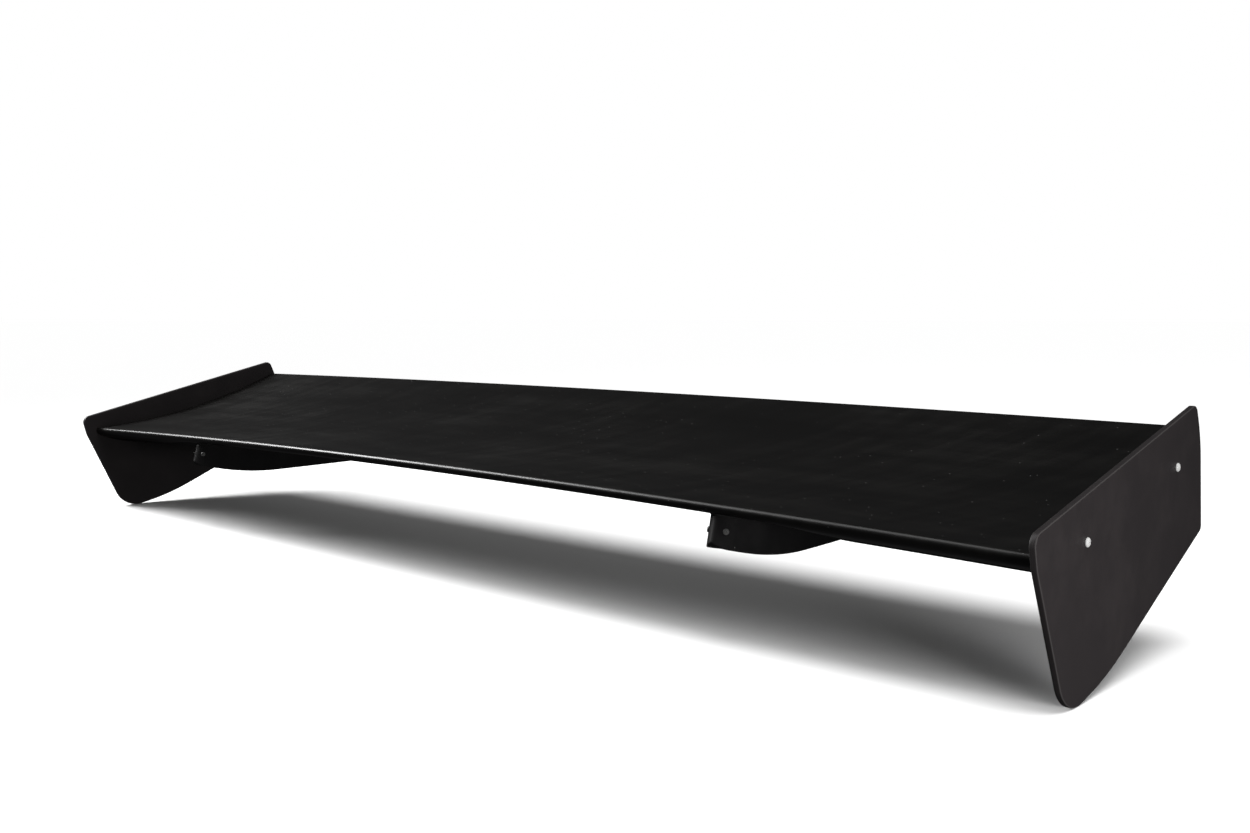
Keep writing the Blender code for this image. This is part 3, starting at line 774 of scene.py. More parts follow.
def geometry_tree(name: str, inputs: dict[str, str]) -> tuple[TreeBuilder, Node]:
    """Start a Geometry Nodes tree with named inputs.

    Args:
        name: The tree's name.
        inputs: Each input's socket type, by name, after the geometry itself.

    Returns:
        The builder, and the tree's input node.
    """
    tree = bpy.data.node_groups.new(name, "GeometryNodeTree")
    tree.interface.new_socket("Geometry", in_out="INPUT", socket_type="NodeSocketGeometry")
    for label, kind in inputs.items():
        tree.interface.new_socket(label, in_out="INPUT", socket_type=kind)
    tree.interface.new_socket("Geometry", in_out="OUTPUT", socket_type="NodeSocketGeometry")
    build = TreeBuilder(tree)
    return build, build.add("NodeGroupInput")


def run_tree(target: Piece, tree: NodeTree, values: dict[str, object]) -> None:
    """Put a Geometry Nodes tree on an object and set its named inputs.

    Args:
        target: The object.
        tree: The tree.
        values: A value for each named input.
    """
    modifier = target.modifiers.new(tree.name, "NODES")
    modifier.node_group = tree
    items = tree.interface.items_tree
    sockets = {item.name: item.identifier for item in items if item.in_out == "INPUT"}
    for label, value in values.items():
        modifier[sockets[label]] = value


def close_tree(build: TreeBuilder, shape: Socket, finish: Socket) -> NodeTree:
    """End a Geometry Nodes tree: real geometry, dressed in one finish.

    Args:
        build: The tree's builder.
        shape: The geometry made so far.
        finish: The input that gives the material.

    Returns:
        The finished tree.
    """
    real = build.add("GeometryNodeRealizeInstances", {0: shape})
    dressed = build.add("GeometryNodeSetMaterial", {"Geometry": real.outputs[0], "Material": finish})
    build.add("NodeGroupOutput", {0: dressed.outputs[0]})
    return build.tree


def arch_tree() -> NodeTree:
    """The tree that arches a straight blade along its span and pitches it up at the tail.

    Returns:
        The tree.
    """
    floats = ("Nose Rise", "Tail Rise", "Half Span", "Tip", "Chord", "Pitch", "Setback", "Height")
    inputs = {label: "NodeSocketFloat" for label in floats}
    build, given = geometry_tree("arch_and_pitch", {**inputs, "Finish": "NodeSocketMaterial"})
    at = build.add("ShaderNodeSeparateXYZ", {0: build.add("GeometryNodeInputPosition").outputs[0]})
    behind = build.math("SUBTRACT", at.outputs[1], given.outputs["Tip"])
    along = build.math("DIVIDE", behind, given.outputs["Chord"])
    share = build.add("ShaderNodeClamp", {0: along}).outputs[0]
    drop = build.math("SUBTRACT", given.outputs["Tail Rise"], given.outputs["Nose Rise"])
    rise = build.math("MULTIPLY_ADD", drop, share, given.outputs["Nose Rise"])
    out = build.math("DIVIDE", at.outputs[0], given.outputs["Half Span"])
    bow = build.math("SUBTRACT", 1.0, build.math("MULTIPLY", out, out))
    lifted = build.math("MULTIPLY_ADD", rise, bow, at.outputs[2])
    section = build.add("ShaderNodeCombineXYZ", {0: at.outputs[0], 1: at.outputs[1], 2: lifted})
    turned = build.add("ShaderNodeVectorRotate", {
        "Vector": section.outputs[0], "Angle": given.outputs["Pitch"]}, rotation_type="X_AXIS")
    shift = build.add("ShaderNodeCombineXYZ", {1: given.outputs["Setback"], 2: given.outputs["Height"]})
    placed = build.add("ShaderNodeVectorMath", {0: turned.outputs[0], 1: shift.outputs[0]}, operation="ADD")
    moved = build.add("GeometryNodeSetPosition", {
        "Geometry": given.outputs[0], "Position": placed.outputs[0]})
    return close_tree(build, moved.outputs[0], given.outputs["Finish"])


def fastener_tree() -> NodeTree:
    """The tree that sets a copy of one fastener on every point, facing along the point's axis.

    Returns:
        The tree.
    """
    inputs = {"Fastener": "NodeSocketObject", "Seed": "NodeSocketInt", "Finish": "NodeSocketMaterial"}
    build, given = geometry_tree("seated_fasteners", inputs)
    axis = build.add("GeometryNodeInputNamedAttribute", {
        "Name": "axis"}, data_type="FLOAT_VECTOR")
    facing = build.add("FunctionNodeAlignRotationToVector", {"Vector": axis.outputs[0]}, axis="Z")
    spin = build.add("FunctionNodeRandomValue", {
        "Min": 0.0, "Max": math.tau, "Seed": given.outputs["Seed"]}, data_type="FLOAT")
    spun = build.add("FunctionNodeAxisAngleToRotation", {"Axis": (0.0, 0.0, 1.0), "Angle": spin.outputs[1]})
    turned = build.add("FunctionNodeRotateRotation", {
        "Rotation": facing.outputs[0], "Rotate By": spun.outputs[0]}, rotation_space="LOCAL")
    shape = build.add("GeometryNodeObjectInfo", {"Object": given.outputs["Fastener"]})
    copies = build.add("GeometryNodeInstanceOnPoints", {
        "Points": given.outputs[0], "Instance": shape.outputs["Geometry"], "Rotation": turned.outputs[0]})
    return close_tree(build, copies.outputs[0], given.outputs["Finish"])


def bead_tree() -> NodeTree:
    """The tree that runs a round bead along a path of edges.

    Returns:
        The tree.
    """
    inputs = {"Radius": "NodeSocketFloat", "Unevenness": "NodeSocketFloat", "Finish": "NodeSocketMaterial"}
    build, given = geometry_tree("adhesive_bead", inputs)
    path = build.add("GeometryNodeMeshToCurve", {"Mesh": given.outputs[0]})
    lumps = build.add("ShaderNodeTexNoise", {"Scale": 90.0, "Detail": 2.0})
    centred = build.math("SUBTRACT", lumps.outputs["Fac"], 0.5)
    swell = build.math("MULTIPLY", centred, given.outputs["Unevenness"])
    width = build.math("MULTIPLY", given.outputs["Radius"], build.math("ADD", swell, 1.0))
    sized = build.add("GeometryNodeSetCurveRadius", {"Curve": path.outputs[0], "Radius": width})
    round_profile = build.add("GeometryNodeCurvePrimitiveCircle", {"Resolution": 12, "Radius": 1.0})
    read_width = build.add("GeometryNodeInputRadius")
    tube = build.add("GeometryNodeCurveToMesh", {
        "Curve": sized.outputs[0], "Profile Curve": round_profile.outputs[0], "Scale": read_width.outputs[0]})
    smooth = build.add("GeometryNodeSetShadeSmooth", {"Geometry": tube.outputs[0]})
    return close_tree(build, smooth.outputs[0], given.outputs["Finish"])


# --------------------------------------------------------------------------------------- blade

@dataclass
class Attitude:
    """How section coordinates lie in the frame: the pitch, the nose's place and the span-wise arch."""

    pitch: float = math.radians(13.0)
    nose_height: float = 0.0469
    nose_setback: float = -0.1856
    nose_rise: float = 0.0116
    tail_rise: float = 0.0045
    half_span: float = 0.750

    def values(self, section: Section, arched: bool, finish: Finish) -> dict[str, object]:
        """Inputs of the arch tree.

        Args:
            section: The blade's section, for its chord.
            arched: False for a piece that is only pitched.
            finish: The piece's finish.

        Returns:
            A value for each of the tree's named inputs.
        """
        return {
            "Nose Rise": self.nose_rise if arched else 0.0, "Tail Rise": self.tail_rise if arched else 0.0,
            "Half Span": self.half_span, "Tip": section.tip, "Chord": section.tail - section.tip,
            "Pitch": self.pitch, "Setback": self.nose_setback, "Height": self.nose_height,
            "Finish": finish.material()}


@dataclass
class Section:
    """The blade's cross-section: a hollowed top, a small round nose and a belly fuller at the tips."""

    tip: float = -0.002
    tail: float = 0.309
    nose_radius: float = 0.0046
    top_start: float = 0.0007
    top_end: float = 0.0034
    tail_thickness: float = 0.0040
    sag: float = 0.0135
    belly_at: float = 0.45
    belly_depths: tuple[float, float] = (0.029, 0.039)
    belly_powers: tuple[float, float] = (2.0, 2.9)
    belly_tail_power: float = 2.6
    belly_change: tuple[float, float] = (0.470, 0.570)
    skin: float = 0.0025
    seam: float = 0.012
    nose_turns: int = 12
    lip_steps: int = 4
    crown_steps: int = 46
    belly_steps: int = 52
    span_steps: tuple[int, int, int] = (12, 14, 7)

    def share(self, c: float) -> float:
        """Fraction of the chord at c."""
        return min(max((c - self.tip) / (self.tail - self.tip), 0.0), 1.0)

    def belly(self, x: float, s: float) -> float:
        """Depth of the underside below its base line at span position x and chord fraction s.

        Args:
            x: Span position.
            s: Fraction of the chord.

        Returns:
            The depth.
        """
        mix = smoothstep(*self.belly_change, abs(x))
        depth = self.belly_depths[0] + (self.belly_depths[1] - self.belly_depths[0]) * mix
        power = self.belly_powers[0] + (self.belly_powers[1] - self.belly_powers[0]) * mix
        if s < self.belly_at:
            return depth * (1.0 - (1.0 - s / self.belly_at) ** power)
        return depth * (1.0 - ((s - self.belly_at) / (1.0 - self.belly_at)) ** self.belly_tail_power)

    def heights(self, x: float, c: float, inset: float = 0.0) -> tuple[float, float]:
        """Top and bottom of the unarched blade.

        Args:
            x: Span position.
            c: Chord position.
            inset: How far the section is shrunk, for the inside of the nose.

        Returns:
            The heights of the top and of the bottom.
        """
        s = self.share(c)
        top = self.top_start + (self.top_end - self.top_start) * s - 4.0 * self.sag * s * (1.0 - s) - inset
        start = self.top_start - 2.0 * self.nose_radius
        bottom = start + (self.top_end - self.tail_thickness - start) * s - self.belly(x, s) + inset
        radius = self.nose_radius - inset
        reach = min(max((c - self.tip - inset) / radius, 0.0), 1.0)
        curl = radius * (1.0 - math.sqrt(1.0 - (1.0 - reach) ** 2))
        return top - curl, bottom + curl

    def nose(self, inset: float) -> list[float]:
        """Chord positions round the nose, evenly spaced in angle, without its last.

        Args:
            inset: How far the section is shrunk.

        Returns:
            The chord positions.
        """
        radius = self.nose_radius - inset
        turns = (QUARTER * i / self.nose_turns for i in range(self.nose_turns))
        return [self.tip + inset + radius * (1.0 - math.cos(turn)) for turn in turns]

    def upper_rows(self, x: float) -> tuple[list[Point], list[Point]]:
        """Outer and inner points of the upper skin: from the seam round the nose and along to the tail.

        Args:
            x: Span position.

        Returns:
            The outer points and the inner points.
        """
        lip = steps(self.tip + self.nose_radius, self.seam, self.lip_steps)
        crown = steps(self.tip + self.nose_radius, self.tail, self.crown_steps)
        outer_nose, inner_nose = self.nose(0.0), self.nose(self.skin)
        outer = [(x, c, self.heights(x, c)[1]) for c in reversed(outer_nose[1:] + lip)]
        outer += [(x, c, self.heights(x, c)[0]) for c in outer_nose + crown]
        inner = [(x, c, self.heights(x, c)[1] + self.skin) for c in reversed(lip)]
        inner += [(x, c, self.heights(x, c, self.skin)[1]) for c in reversed(inner_nose[1:])]
        inner += [(x, c, self.heights(x, c, self.skin)[0]) for c in inner_nose]
        for c in crown:
            top, bottom = self.heights(x, c)
            inner.append((x, c, max(top - self.skin, (top + bottom + CAD_GAP) / 2.0)))
        return outer, inner

    def lower_rows(self, x: float) -> tuple[list[Point], list[Point]]:
        """Outer and inner points of the lower skin, from the seam to the tail.

        Args:
            x: Span position.

        Returns:
            The outer points and the inner points.
        """
        outer, inner = [], []
        for c in steps(self.seam + CAD_GAP, self.tail, self.belly_steps):
            top, bottom = self.heights(x, c)
            outer.append((x, c, bottom))
            inner.append((x, c, min(bottom + self.skin, (top + bottom - CAD_GAP) / 2.0)))
        return outer, inner

    def stations(self, end: float) -> list[float]:
        """Span positions from tip to tip, closest together where the belly changes.

        Args:
            end: Where the blade ends on each side.

        Returns:
            The positions, from left to right.
        """
        inner, change, outer = self.span_steps
        half = steps(0.0, self.belly_change[0], inner)[:-1]
        half += steps(*self.belly_change, change)[:-1] + steps(self.belly_change[1], end, outer)
        return [-x for x in reversed(half[1:])] + half


@dataclass
class Blade:
    """The two moulded skins of the blade."""

    section: Section
    attitude: Attitude
    edge: float = 0.0006
    web_reach: tuple[float, float] = (-0.1053, 0.0190)
    web_half: float = 0.0033
    skins: dict[str, Piece] = field(default_factory=dict)

    def build(self, tree: NodeTree) -> None:
        """Make both skins and dress them.

        Args:
            tree: The tree that arches and pitches them.
        """
        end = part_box("blade_upper_skin")[1].x
        stations = self.section.stations(end)
        shells = (
            ("upper", self.section.upper_rows, TOP_COAT), ("lower", self.section.lower_rows, LOWER_COAT))
        for label, rows, finish in shells:
            grids = [rows(x) for x in stations]
            data = walled_panel([grid[0] for grid in grids], [grid[1] for grid in grids], closed=False)
            raw = new_object(f"raw_{label}_skin", data)
            run_tree(raw, tree, self.attitude.values(self.section, True, finish))
            helpers = [self.web_slots()] if label == "lower" else []
            for helper in helpers:
                cut(raw, helper)
            ease_edges(raw, self.edge, 2)
            skin = bake(raw, f"{label}_skin", helpers)
            self.skins[label] = skin
            settle(skin, finish, Slot.BLACK_LAMINATE, f"blade_{label}_skin")

    def web_slots(self) -> Piece:
        """Make the cutter of the slots that the pedestals' webs pass through.

        Returns:
            The cutter.
        """
        data = bmesh.new()
        for side in Side:
            low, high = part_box(f"pedestal_web_{side.label}")
            middle = (low.x + high.x) / 2.0
            front, rear = self.web_reach
            centre = Vector((middle, (front + rear) / 2.0, high.z / 2.0))
            size = Matrix.Diagonal((2.0 * self.web_half, rear - front, high.z, 1.0))
            bmesh.ops.create_cube(data, size=1.0, matrix=Matrix.Translation(centre) @ size)
        return new_object("web_slots", data)


# ---------------------------------------------------------------------------------- end plates

@dataclass
class EndPlates:
    """The drooping plates at the tips, with their rounded rims and screw holes."""

    section: Section
    attitude: Attitude
    corners: tuple[Point, ...] = (
        (-0.0165, 0.0210, 0.0100), (0.3105, 0.0238, 0.0085), (0.3168, -0.0080, 0.1200),
        (0.3075, -0.0918, 0.0060), (0.0850, -0.1350, 0.3500), (0.0108, -0.1330, 0.0350),
        (-0.0162, -0.0050, 0.0270))
    rim_radius: float = 0.0011
    rim_turns: int = 5
    corner_step: float = math.radians(4.0)
    hole_radius: float = 0.0023
    face_inset: float = 0.0050
    drill_length: float = 0.06

    def outline(self, inset: float) -> list[tuple[float, float]]:
        """Rounded outline of a plate as (c, h) points.

        Args:
            inset: How far inside the rim the outline runs.

        Returns:
            The points, clockwise from the front top corner.
        """
        points = []
        for i, (c, h, radius) in enumerate(self.corners):
            here = Vector((c, h))
            before = (Vector(self.corners[i - 1][:2]) - here).normalized()
            after = (Vector(self.corners[(i + 1) % len(self.corners)][:2]) - here).normalized()
            half = before.angle(after) / 2.0
            centre = here + (before + after).normalized() * radius / math.sin(half)
            start = (here + before * radius / math.tan(half) - centre) * (1.0 - inset / radius)
            sweep = math.pi - 2.0 * half
            turns = max(3, math.ceil(sweep / self.corner_step))
            for k in range(turns + 1):
                point = centre + Matrix.Rotation(-sweep * k / turns, 2) @ start
                points.append((point.x, point.y))
        return points

    def rings(self, inner_x: float, outer_x: float) -> list[list[Point]]:
        """Rings of a plate across its thickness: a flat face, a rounded rim and the other flat face.

        Args:
            inner_x: X of the face towards the blade.
            outer_x: X of the outward face.

        Returns:
            The rings, from the inner face outwards.
        """
        way = 1.0 if outer_x > inner_x else -1.0
        radius = self.rim_radius
        levels = [(inner_x, self.face_inset)]
        turns = [QUARTER * k / self.rim_turns for k in range(self.rim_turns + 1)]
        rim = [(way * radius * (1.0 - math.cos(a)), radius * (1.0 - math.sin(a))) for a in turns]
        levels += [(inner_x + reach, inset) for reach, inset in rim]
        levels += [(outer_x - reach, inset) for reach, inset in reversed(rim)]
        levels.append((outer_x, self.face_inset))
        return [[(x, c, h) for c, h in self.outline(inset)] for x, inset in levels]

    def build(self, tree: NodeTree) -> None:
        """Make both plates and dress them.

        Args:
            tree: The tree that pitches them.
        """
        for side in Side:
            node = f"end_plate_{side.label}"
            low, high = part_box(node)
            inner_x, outer_x = (low.x, high.x) if side is Side.RIGHT else (high.x, low.x)
            raw = new_object(f"raw_{node}", stacked_rings(self.rings(inner_x, outer_x)))
            run_tree(raw, tree, self.attitude.values(self.section, False, PLATE_COAT))
            across = Vector((1.0, 0.0, 0.0))
            axes = [(middle_of(f"plate_screw_{side.label}_{n}"), across) for n in (1, 2)]
            holes = add_cylinders("plate_holes", axes, self.hole_radius, self.drill_length)
            cut(raw, holes)
            plate = bake(raw, f"plate_{side.label}", [holes])
            settle(plate, PLATE_COAT, Slot.PLATE_LAMINATE, node)


def middle_of(node: str) -> Vector:
    """Middle of a frame node's box."""
    low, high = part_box(node)
    return (low + high) / 2.0


# ----------------------------------------------------------------------------------- pedestals

@dataclass
class Pedestals:
    """The hollow fairings under the blade, each bonded to it with a bead of adhesive."""

    blade: Blade
    half_width: float = 0.0210
    tail_half_width: float = 0.0035
    length: float = 0.2700
    front_top: float = 0.0040
    front_bottom: float = -0.0025
    widest: float = 0.17
    taper_power: float = 1.7
    wall: float = 0.0030
    toe_rise: float = 0.0154
    toe_length: float = 0.1120
    toe_radius: float = 0.0090
    toe_curl: float = 0.6
    levels: int = 14
    nose_turns: int = 18
    flank_steps: int = 34
    lip: float = 0.0010
    bead_radius: float = 0.0009
    screw_spot: tuple[float, float] = (0.0060, 0.0298)
    hole_radius: float = 0.0018
    drill_length: float = 0.0075
    slot_margin: float = 0.002
    probe_height: float = -0.05
    bead_unevenness: float = 0.5
    seats: list[Seat] = field(default_factory=list)

    def width_at(self, t: float, inset: float) -> float:
        """Half-width of the streamlined plan at fraction t of its length, less an inset.

        Args:
            t: Fraction of the plan's length.
            inset: How far inside the outer wall the plan runs.

        Returns:
            The half-width.
        """
        half, tail = self.half_width - inset, self.tail_half_width - inset
        if t < self.widest:
            return half * math.sqrt(max(0.0, 1.0 - (1.0 - t / self.widest) ** 2))
        return half + (tail - half) * ((t - self.widest) / (1.0 - self.widest)) ** self.taper_power

    def bottom(self, y: float) -> float:
        """Height of the lower rim at y behind the blade's nose: flat, with an upswept toe.

        Args:
            y: Distance behind the blade's nose.

        Returns:
            The height.
        """
        rise = self.toe_rise * max(0.0, 1.0 - max(y, 0.0) / self.toe_length) ** 2
        reach = min(max((y - self.front_bottom) / self.toe_radius, 0.0), 1.0)
        return rise + self.toe_radius * self.toe_curl * (1.0 - math.sqrt(1.0 - (1.0 - reach) ** 2))

    def plan(self, middle: float, front: float, inset: float) -> list[tuple[float, float]]:
        """Plan outline as (x, y) points, with y measured from the blade's nose.

        Args:
            middle: X of the pedestal's centre plane.
            front: Where the plan starts.
            inset: How far inside the outer wall the plan runs.

        Returns:
            The points, round from the nose and back.
        """
        length = self.front_top + self.length - front
        turns = (QUARTER * i / self.nose_turns for i in range(self.nose_turns))
        nose = [self.widest * (1.0 - math.cos(turn)) for turn in turns]
        flank = steps(self.widest, 1.0, self.flank_steps)
        right = []
        for t in nose + flank:
            right.append((self.width_at(t, inset), front + inset + (length - 2.0 * inset) * t))
        left = [(-width, y) for width, y in reversed(right) if width > 0.0]
        return [(middle + x, y) for x, y in right + left]

    def rings(self, middle: float, inset: float, roof: Callable[[float, float], float]) -> list[list[Point]]:
        """Rings of the wall from its lower rim up to the blade.

        Args:
            middle: X of the pedestal's centre plane.
            inset: 0 for the outer face, or the wall's thickness for the inner one.
            roof: Height of the blade's underside above a point.

        Returns:
            The rings, lowest first.
        """
        setback = self.blade.attitude.nose_setback
        low_plan = self.plan(middle, self.front_bottom, inset)
        high_plan = self.plan(middle, self.front_top, inset)
        tops = [roof(x, y + setback) - CAD_GAP for x, y in high_plan]
        rings = []
        for t in steps(0.0, 1.0, self.levels):
            ring = []
            for (x0, y0), (x1, y1), high in zip(low_plan, high_plan, tops):
                low = self.bottom(y0)
                ring.append((x0 + (x1 - x0) * t, y0 + (y1 - y0) * t + setback, low + (high - low) * t))
            rings.append(ring)
        return rings

    def roof_finder(self) -> Callable[[float, float], float]:
        """Return the function that gives the underside's height above a point.

        Returns:
            The function.
        """
        skin = self.blade.skins["lower"]
        graph = bpy.context.evaluated_depsgraph_get()
        tree = BVHTree.FromObject(skin, graph)
        upper = BVHTree.FromObject(self.blade.skins["upper"], graph)
        up = Vector((0.0, 0.0, 1.0))

        def height(x: float, y: float) -> float:
            """Height of the lowest skin above (x, y).

            Args:
                x: X of the point.
                y: Y of the point.

            Returns:
                The height.
            """
            start = Vector((x, y, self.probe_height))
            found = (tree.ray_cast(start, up)[0], upper.ray_cast(start, up)[0])
            return min(hit.z for hit in found if hit)

        return height

    def build(self, bead: NodeTree) -> None:
        """Make both pedestals and their beads, and dress them.

        Args:
            bead: The tree that runs the adhesive along a path.
        """
        plain_roof = self.roof_finder()
        for side in Side:
            node = f"pedestal_{side.label}"
            middle = middle_of(node).x
            half = self.blade.web_half + self.slot_margin

            def roof(x: float, y: float, middle: float = middle, half: float = half) -> float:
                """Height of the underside, read beside the web's slot."""
                away = math.copysign(max(abs(x - middle), half), x - middle)
                return plain_roof(middle + away, y)

            outer = self.rings(middle, 0.0, roof)
            inner = self.rings(middle, self.wall, roof)
            raw = new_object(f"raw_{node}", walled_panel(outer, inner, closed=True))
            seats = self.find_seats(raw, middle)
            self.seats += seats
            ease_edges(raw, self.lip, 3)
            holes = add_cylinders("screw_holes", seats, self.hole_radius, self.drill_length)
            cut(raw, holes)
            fairing = bake(raw, f"fairing_{side.label}", [holes])
            settle(fairing, PEDESTAL_COAT, Slot.BLACK_LAMINATE, node)
            self.run_bead(side, outer[-1], bead)

    def find_seats(self, fairing: Piece, middle: float) -> list[Seat]:
        """Find where a screw sits on either flank of a fairing's nose.

        Args:
            fairing: The fairing, before it is drilled.
            middle: X of its centre plane.

        Returns:
            The place and the outward direction of each screw, inner side first.
        """
        tree = BVHTree.FromObject(fairing, bpy.context.evaluated_depsgraph_get())
        y = self.blade.attitude.nose_setback + self.screw_spot[0]
        seats = []
        for way in (-math.copysign(1.0, middle), math.copysign(1.0, middle)):
            start = Vector((middle + way * self.half_width * 2.0, y, self.screw_spot[1]))
            place, normal, _, _ = tree.ray_cast(start, Vector((-way, 0.0, 0.0)))
            seats.append((place, normal))
        return seats

    def run_bead(self, side: Side, path: Sequence[Point], bead: NodeTree) -> None:
        """Run a bead of adhesive round the top of a pedestal.

        Args:
            side: The pedestal's side.
            path: The closed line where the pedestal's wall meets the blade.
            bead: The tree that runs it.
        """
        data = bmesh.new()
        points = [data.verts.new(point) for point in path]
        for near, far in zip(points, points[1:] + points[:1]):
            data.edges.new((near, far))
        raw = new_object(f"raw_bead_{side.label}", data)
        finish = Bead()
        run_tree(raw, bead, {
            "Radius": self.bead_radius, "Unevenness": self.bead_unevenness, "Finish": finish.material()})
        settle(bake(raw, f"pedestal_bead_{side.label}"), finish, Slot.BLACK_LAMINATE)


# ----------------------------------------------------------------------------------- fasteners

@dataclass(frozen=True)
class ButtonScrew:
    """A socket button-head screw. Its head stands above z = 0 and its shank hangs below."""

    thread: float
    head: float
    height: float
    socket: float
    length: float
    segments: int = 48
    rim: float = 0.25
    dome_turns: int = 8
    tip_share: float = 0.7
    tip_length: float = 0.0008
    head_foot: tuple[float, float] = (0.985, 0.06)
    socket_reach: float = 1.28
    socket_lip: tuple[float, float] = (1.04, 0.985)
    socket_depths: tuple[float, float] = (0.93, 0.42)

    def rows(self) -> list[tuple[float, float, bool]]:
        """Radius, height and hexagon flag of each ring, from the shank's tip to the socket's floor.

        Returns:
            The rings, one after another.
        """
        shank = self.thread - CAD_GAP
        foot, foot_rise = self.head_foot
        rows = [(shank * self.tip_share, -self.length, False), (shank, self.tip_length - self.length, False)]
        rows += [(shank, 0.0, False), (self.head * foot, 0.0, False)]
        rows.append((self.head, self.height * foot_rise, False))
        reach = math.acos(min(1.0, self.socket * self.socket_reach / self.head))
        for turn in steps(0.0, reach, self.dome_turns):
            lift = self.height * (self.rim + (1.0 - self.rim) * math.sin(turn))
            rows.append((self.head * math.cos(turn), lift, False))
        top = rows[-1][1]
        lip, lip_drop = self.socket_lip
        rows.append((self.socket * lip, top * lip_drop, True))
        return rows + [(self.socket, top * depth, True) for depth in self.socket_depths]

    def template(self) -> Piece:
        """Build one screw on the Z axis.

        Returns:
            The screw.
        """
        data = bmesh.new()
        corner = math.pi / 6.0
        rings = []
        for radius, height, is_hex in self.rows():
            ring = []
            for i in range(self.segments):
                angle = math.tau * i / self.segments
                flat = math.cos((angle + corner) % (2.0 * corner) - corner)
                reach = radius / flat if is_hex else radius
                ring.append(data.verts.new((reach * math.cos(angle), reach * math.sin(angle), height)))
            rings.append(ring)
        for near, far in zip(rings, rings[1:]):
            for i in range(self.segments):
                j = (i + 1) % self.segments
                data.faces.new((near[i], near[j], far[j], far[i]))
        data.faces.new(rings[0])
        data.faces.new(rings[-1])
        return new_object("screw_template", data)


@dataclass
class Fasteners:
    """Every screw and bolt of the wing, set on the seats that the frame gives them."""

    pedestals: Pedestals
    plate_screw: ButtonScrew = ButtonScrew(
        thread=0.0020, head=0.0038, height=0.0022, socket=0.00125, length=0.016)
    cross_screw: ButtonScrew = ButtonScrew(
        thread=0.0015, head=0.0028, height=0.0016, socket=0.0010, length=0.006)
    web_bolt: ButtonScrew = ButtonScrew(
        thread=0.0030, head=0.00525, height=0.0033, socket=0.0020, length=0.0257)
    seeds: tuple[int, int, int] = (3, 8, 5)

    def side_seats(self, screw: ButtonScrew, nodes: Iterable[tuple[str, float]]) -> list[Seat]:
        """Find the seats of fasteners that lie along X.

        Args:
            screw: The fastener's sizes.
            nodes: Each frame node with the sign of X that its head faces.

        Returns:
            The place and the outward direction of each fastener.
        """
        seats = []
        for node, way in nodes:
            low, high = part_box(node)
            middle = (low + high) / 2.0
            head_top = high.x if way > 0.0 else low.x
            place = Vector((head_top - way * screw.height, middle.y, middle.z))
            seats.append((place, Vector((way, 0.0, 0.0))))
        return seats

    def fit(
        self, tree: NodeTree, name: str, screw: ButtonScrew, finish: Finish, slot: Slot,
        seats: Sequence[Seat], nodes: Iterable[str], seed: int,
    ) -> None:
        """Set one kind of fastener on all its seats.

        Args:
            tree: The tree that copies the fastener.
            name: Name of the finished piece.
            screw: The fastener's sizes.
            finish: Its finish.
            slot: Its material slot.
            seats: The place and the outward direction of each fastener.
            nodes: The frame nodes that they stand for.
            seed: Seed of the turn that each socket was left at.
        """
        mesh = bpy.data.meshes.new("seats")
        mesh.from_pydata([place for place, _ in seats], [], [])
        store = mesh.attributes.new("axis", "FLOAT_VECTOR", "POINT")
        for point, (_, axis) in zip(store.data, seats):
            point.vector = axis
        points = bpy.data.objects.new("seats", mesh)
        bpy.context.scene.collection.objects.link(points)
        template = screw.template()
        run_tree(points, tree, {"Fastener": template, "Seed": seed, "Finish": finish.material()})
        settle(bake(points, name, [template]), finish, slot, *nodes)

    def build(self, tree: NodeTree) -> None:
        """Fit the plate screws, the cross screws and the web bolts.

        Args:
            tree: The tree that copies a fastener.
        """
        numbered = [(side, n) for side in Side for n in (1, 2)]
        plates = [(f"plate_screw_{side.label}_{n}", side.value) for side, n in numbered]
        bolts = [(f"web_bolt_{side.label}_{n}", side.value) for side, n in numbered]
        crosses = [f"cross_screw_{side.label}_{place}" for side in Side for place in ("inner", "outer")]
        plate_seed, bolt_seed, cross_seed = self.seeds
        for name, screw, finish, slot, sides, seed in (
            ("plate_screws", self.plate_screw, STAINLESS, Slot.STAINLESS, plates, plate_seed),
            ("web_bolts", self.web_bolt, ZINC, Slot.ZINC_STEEL, bolts, bolt_seed),
        ):
            nodes = [node for node, _ in sides]
            self.fit(tree, name, screw, finish, slot, self.side_seats(screw, sides), nodes, seed)
        self.fit(
            tree, "cross_screws", self.cross_screw, DULL_STAINLESS, Slot.STAINLESS,
            self.pedestals.seats, crosses, cross_seed)


# ---------------------------------------------------------------------------- kept inner pieces

class InnerPieces:
    """Spars, ribs, webs, feet and small hardware that keep the frame's own shapes."""

    finishes: dict[str, Finish] = {
        "front_spar": RawLaminate(), "rear_spar": RawLaminate(), "end_rib": Plywood(),
        "pedestal_rib": Plywood(), "pedestal_web": ALUMINIUM, "pedestal_foot": ALUMINIUM,
        "cross_sleeve": ALUMINIUM, "foot_pin": STAINLESS, "plate_insert": ZINC, "web_nut": ZINC}

    def build(self) -> None:
        """Dress every node that no new piece stands for."""
        for node in sorted(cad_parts):
            for start, finish in self.finishes.items():
                if node.startswith(start):
                    dress(node, finish)


# --------------------------------------------------------------------------------------- stage

@dataclass(frozen=True)
class SoftBox:
    """A rectangular lamp: where it hangs, what it points at, and its size and power."""

    name: str
    place: Point
    aim: Point
    size: tuple[float, float]
    power: float
    mirrored: bool = True


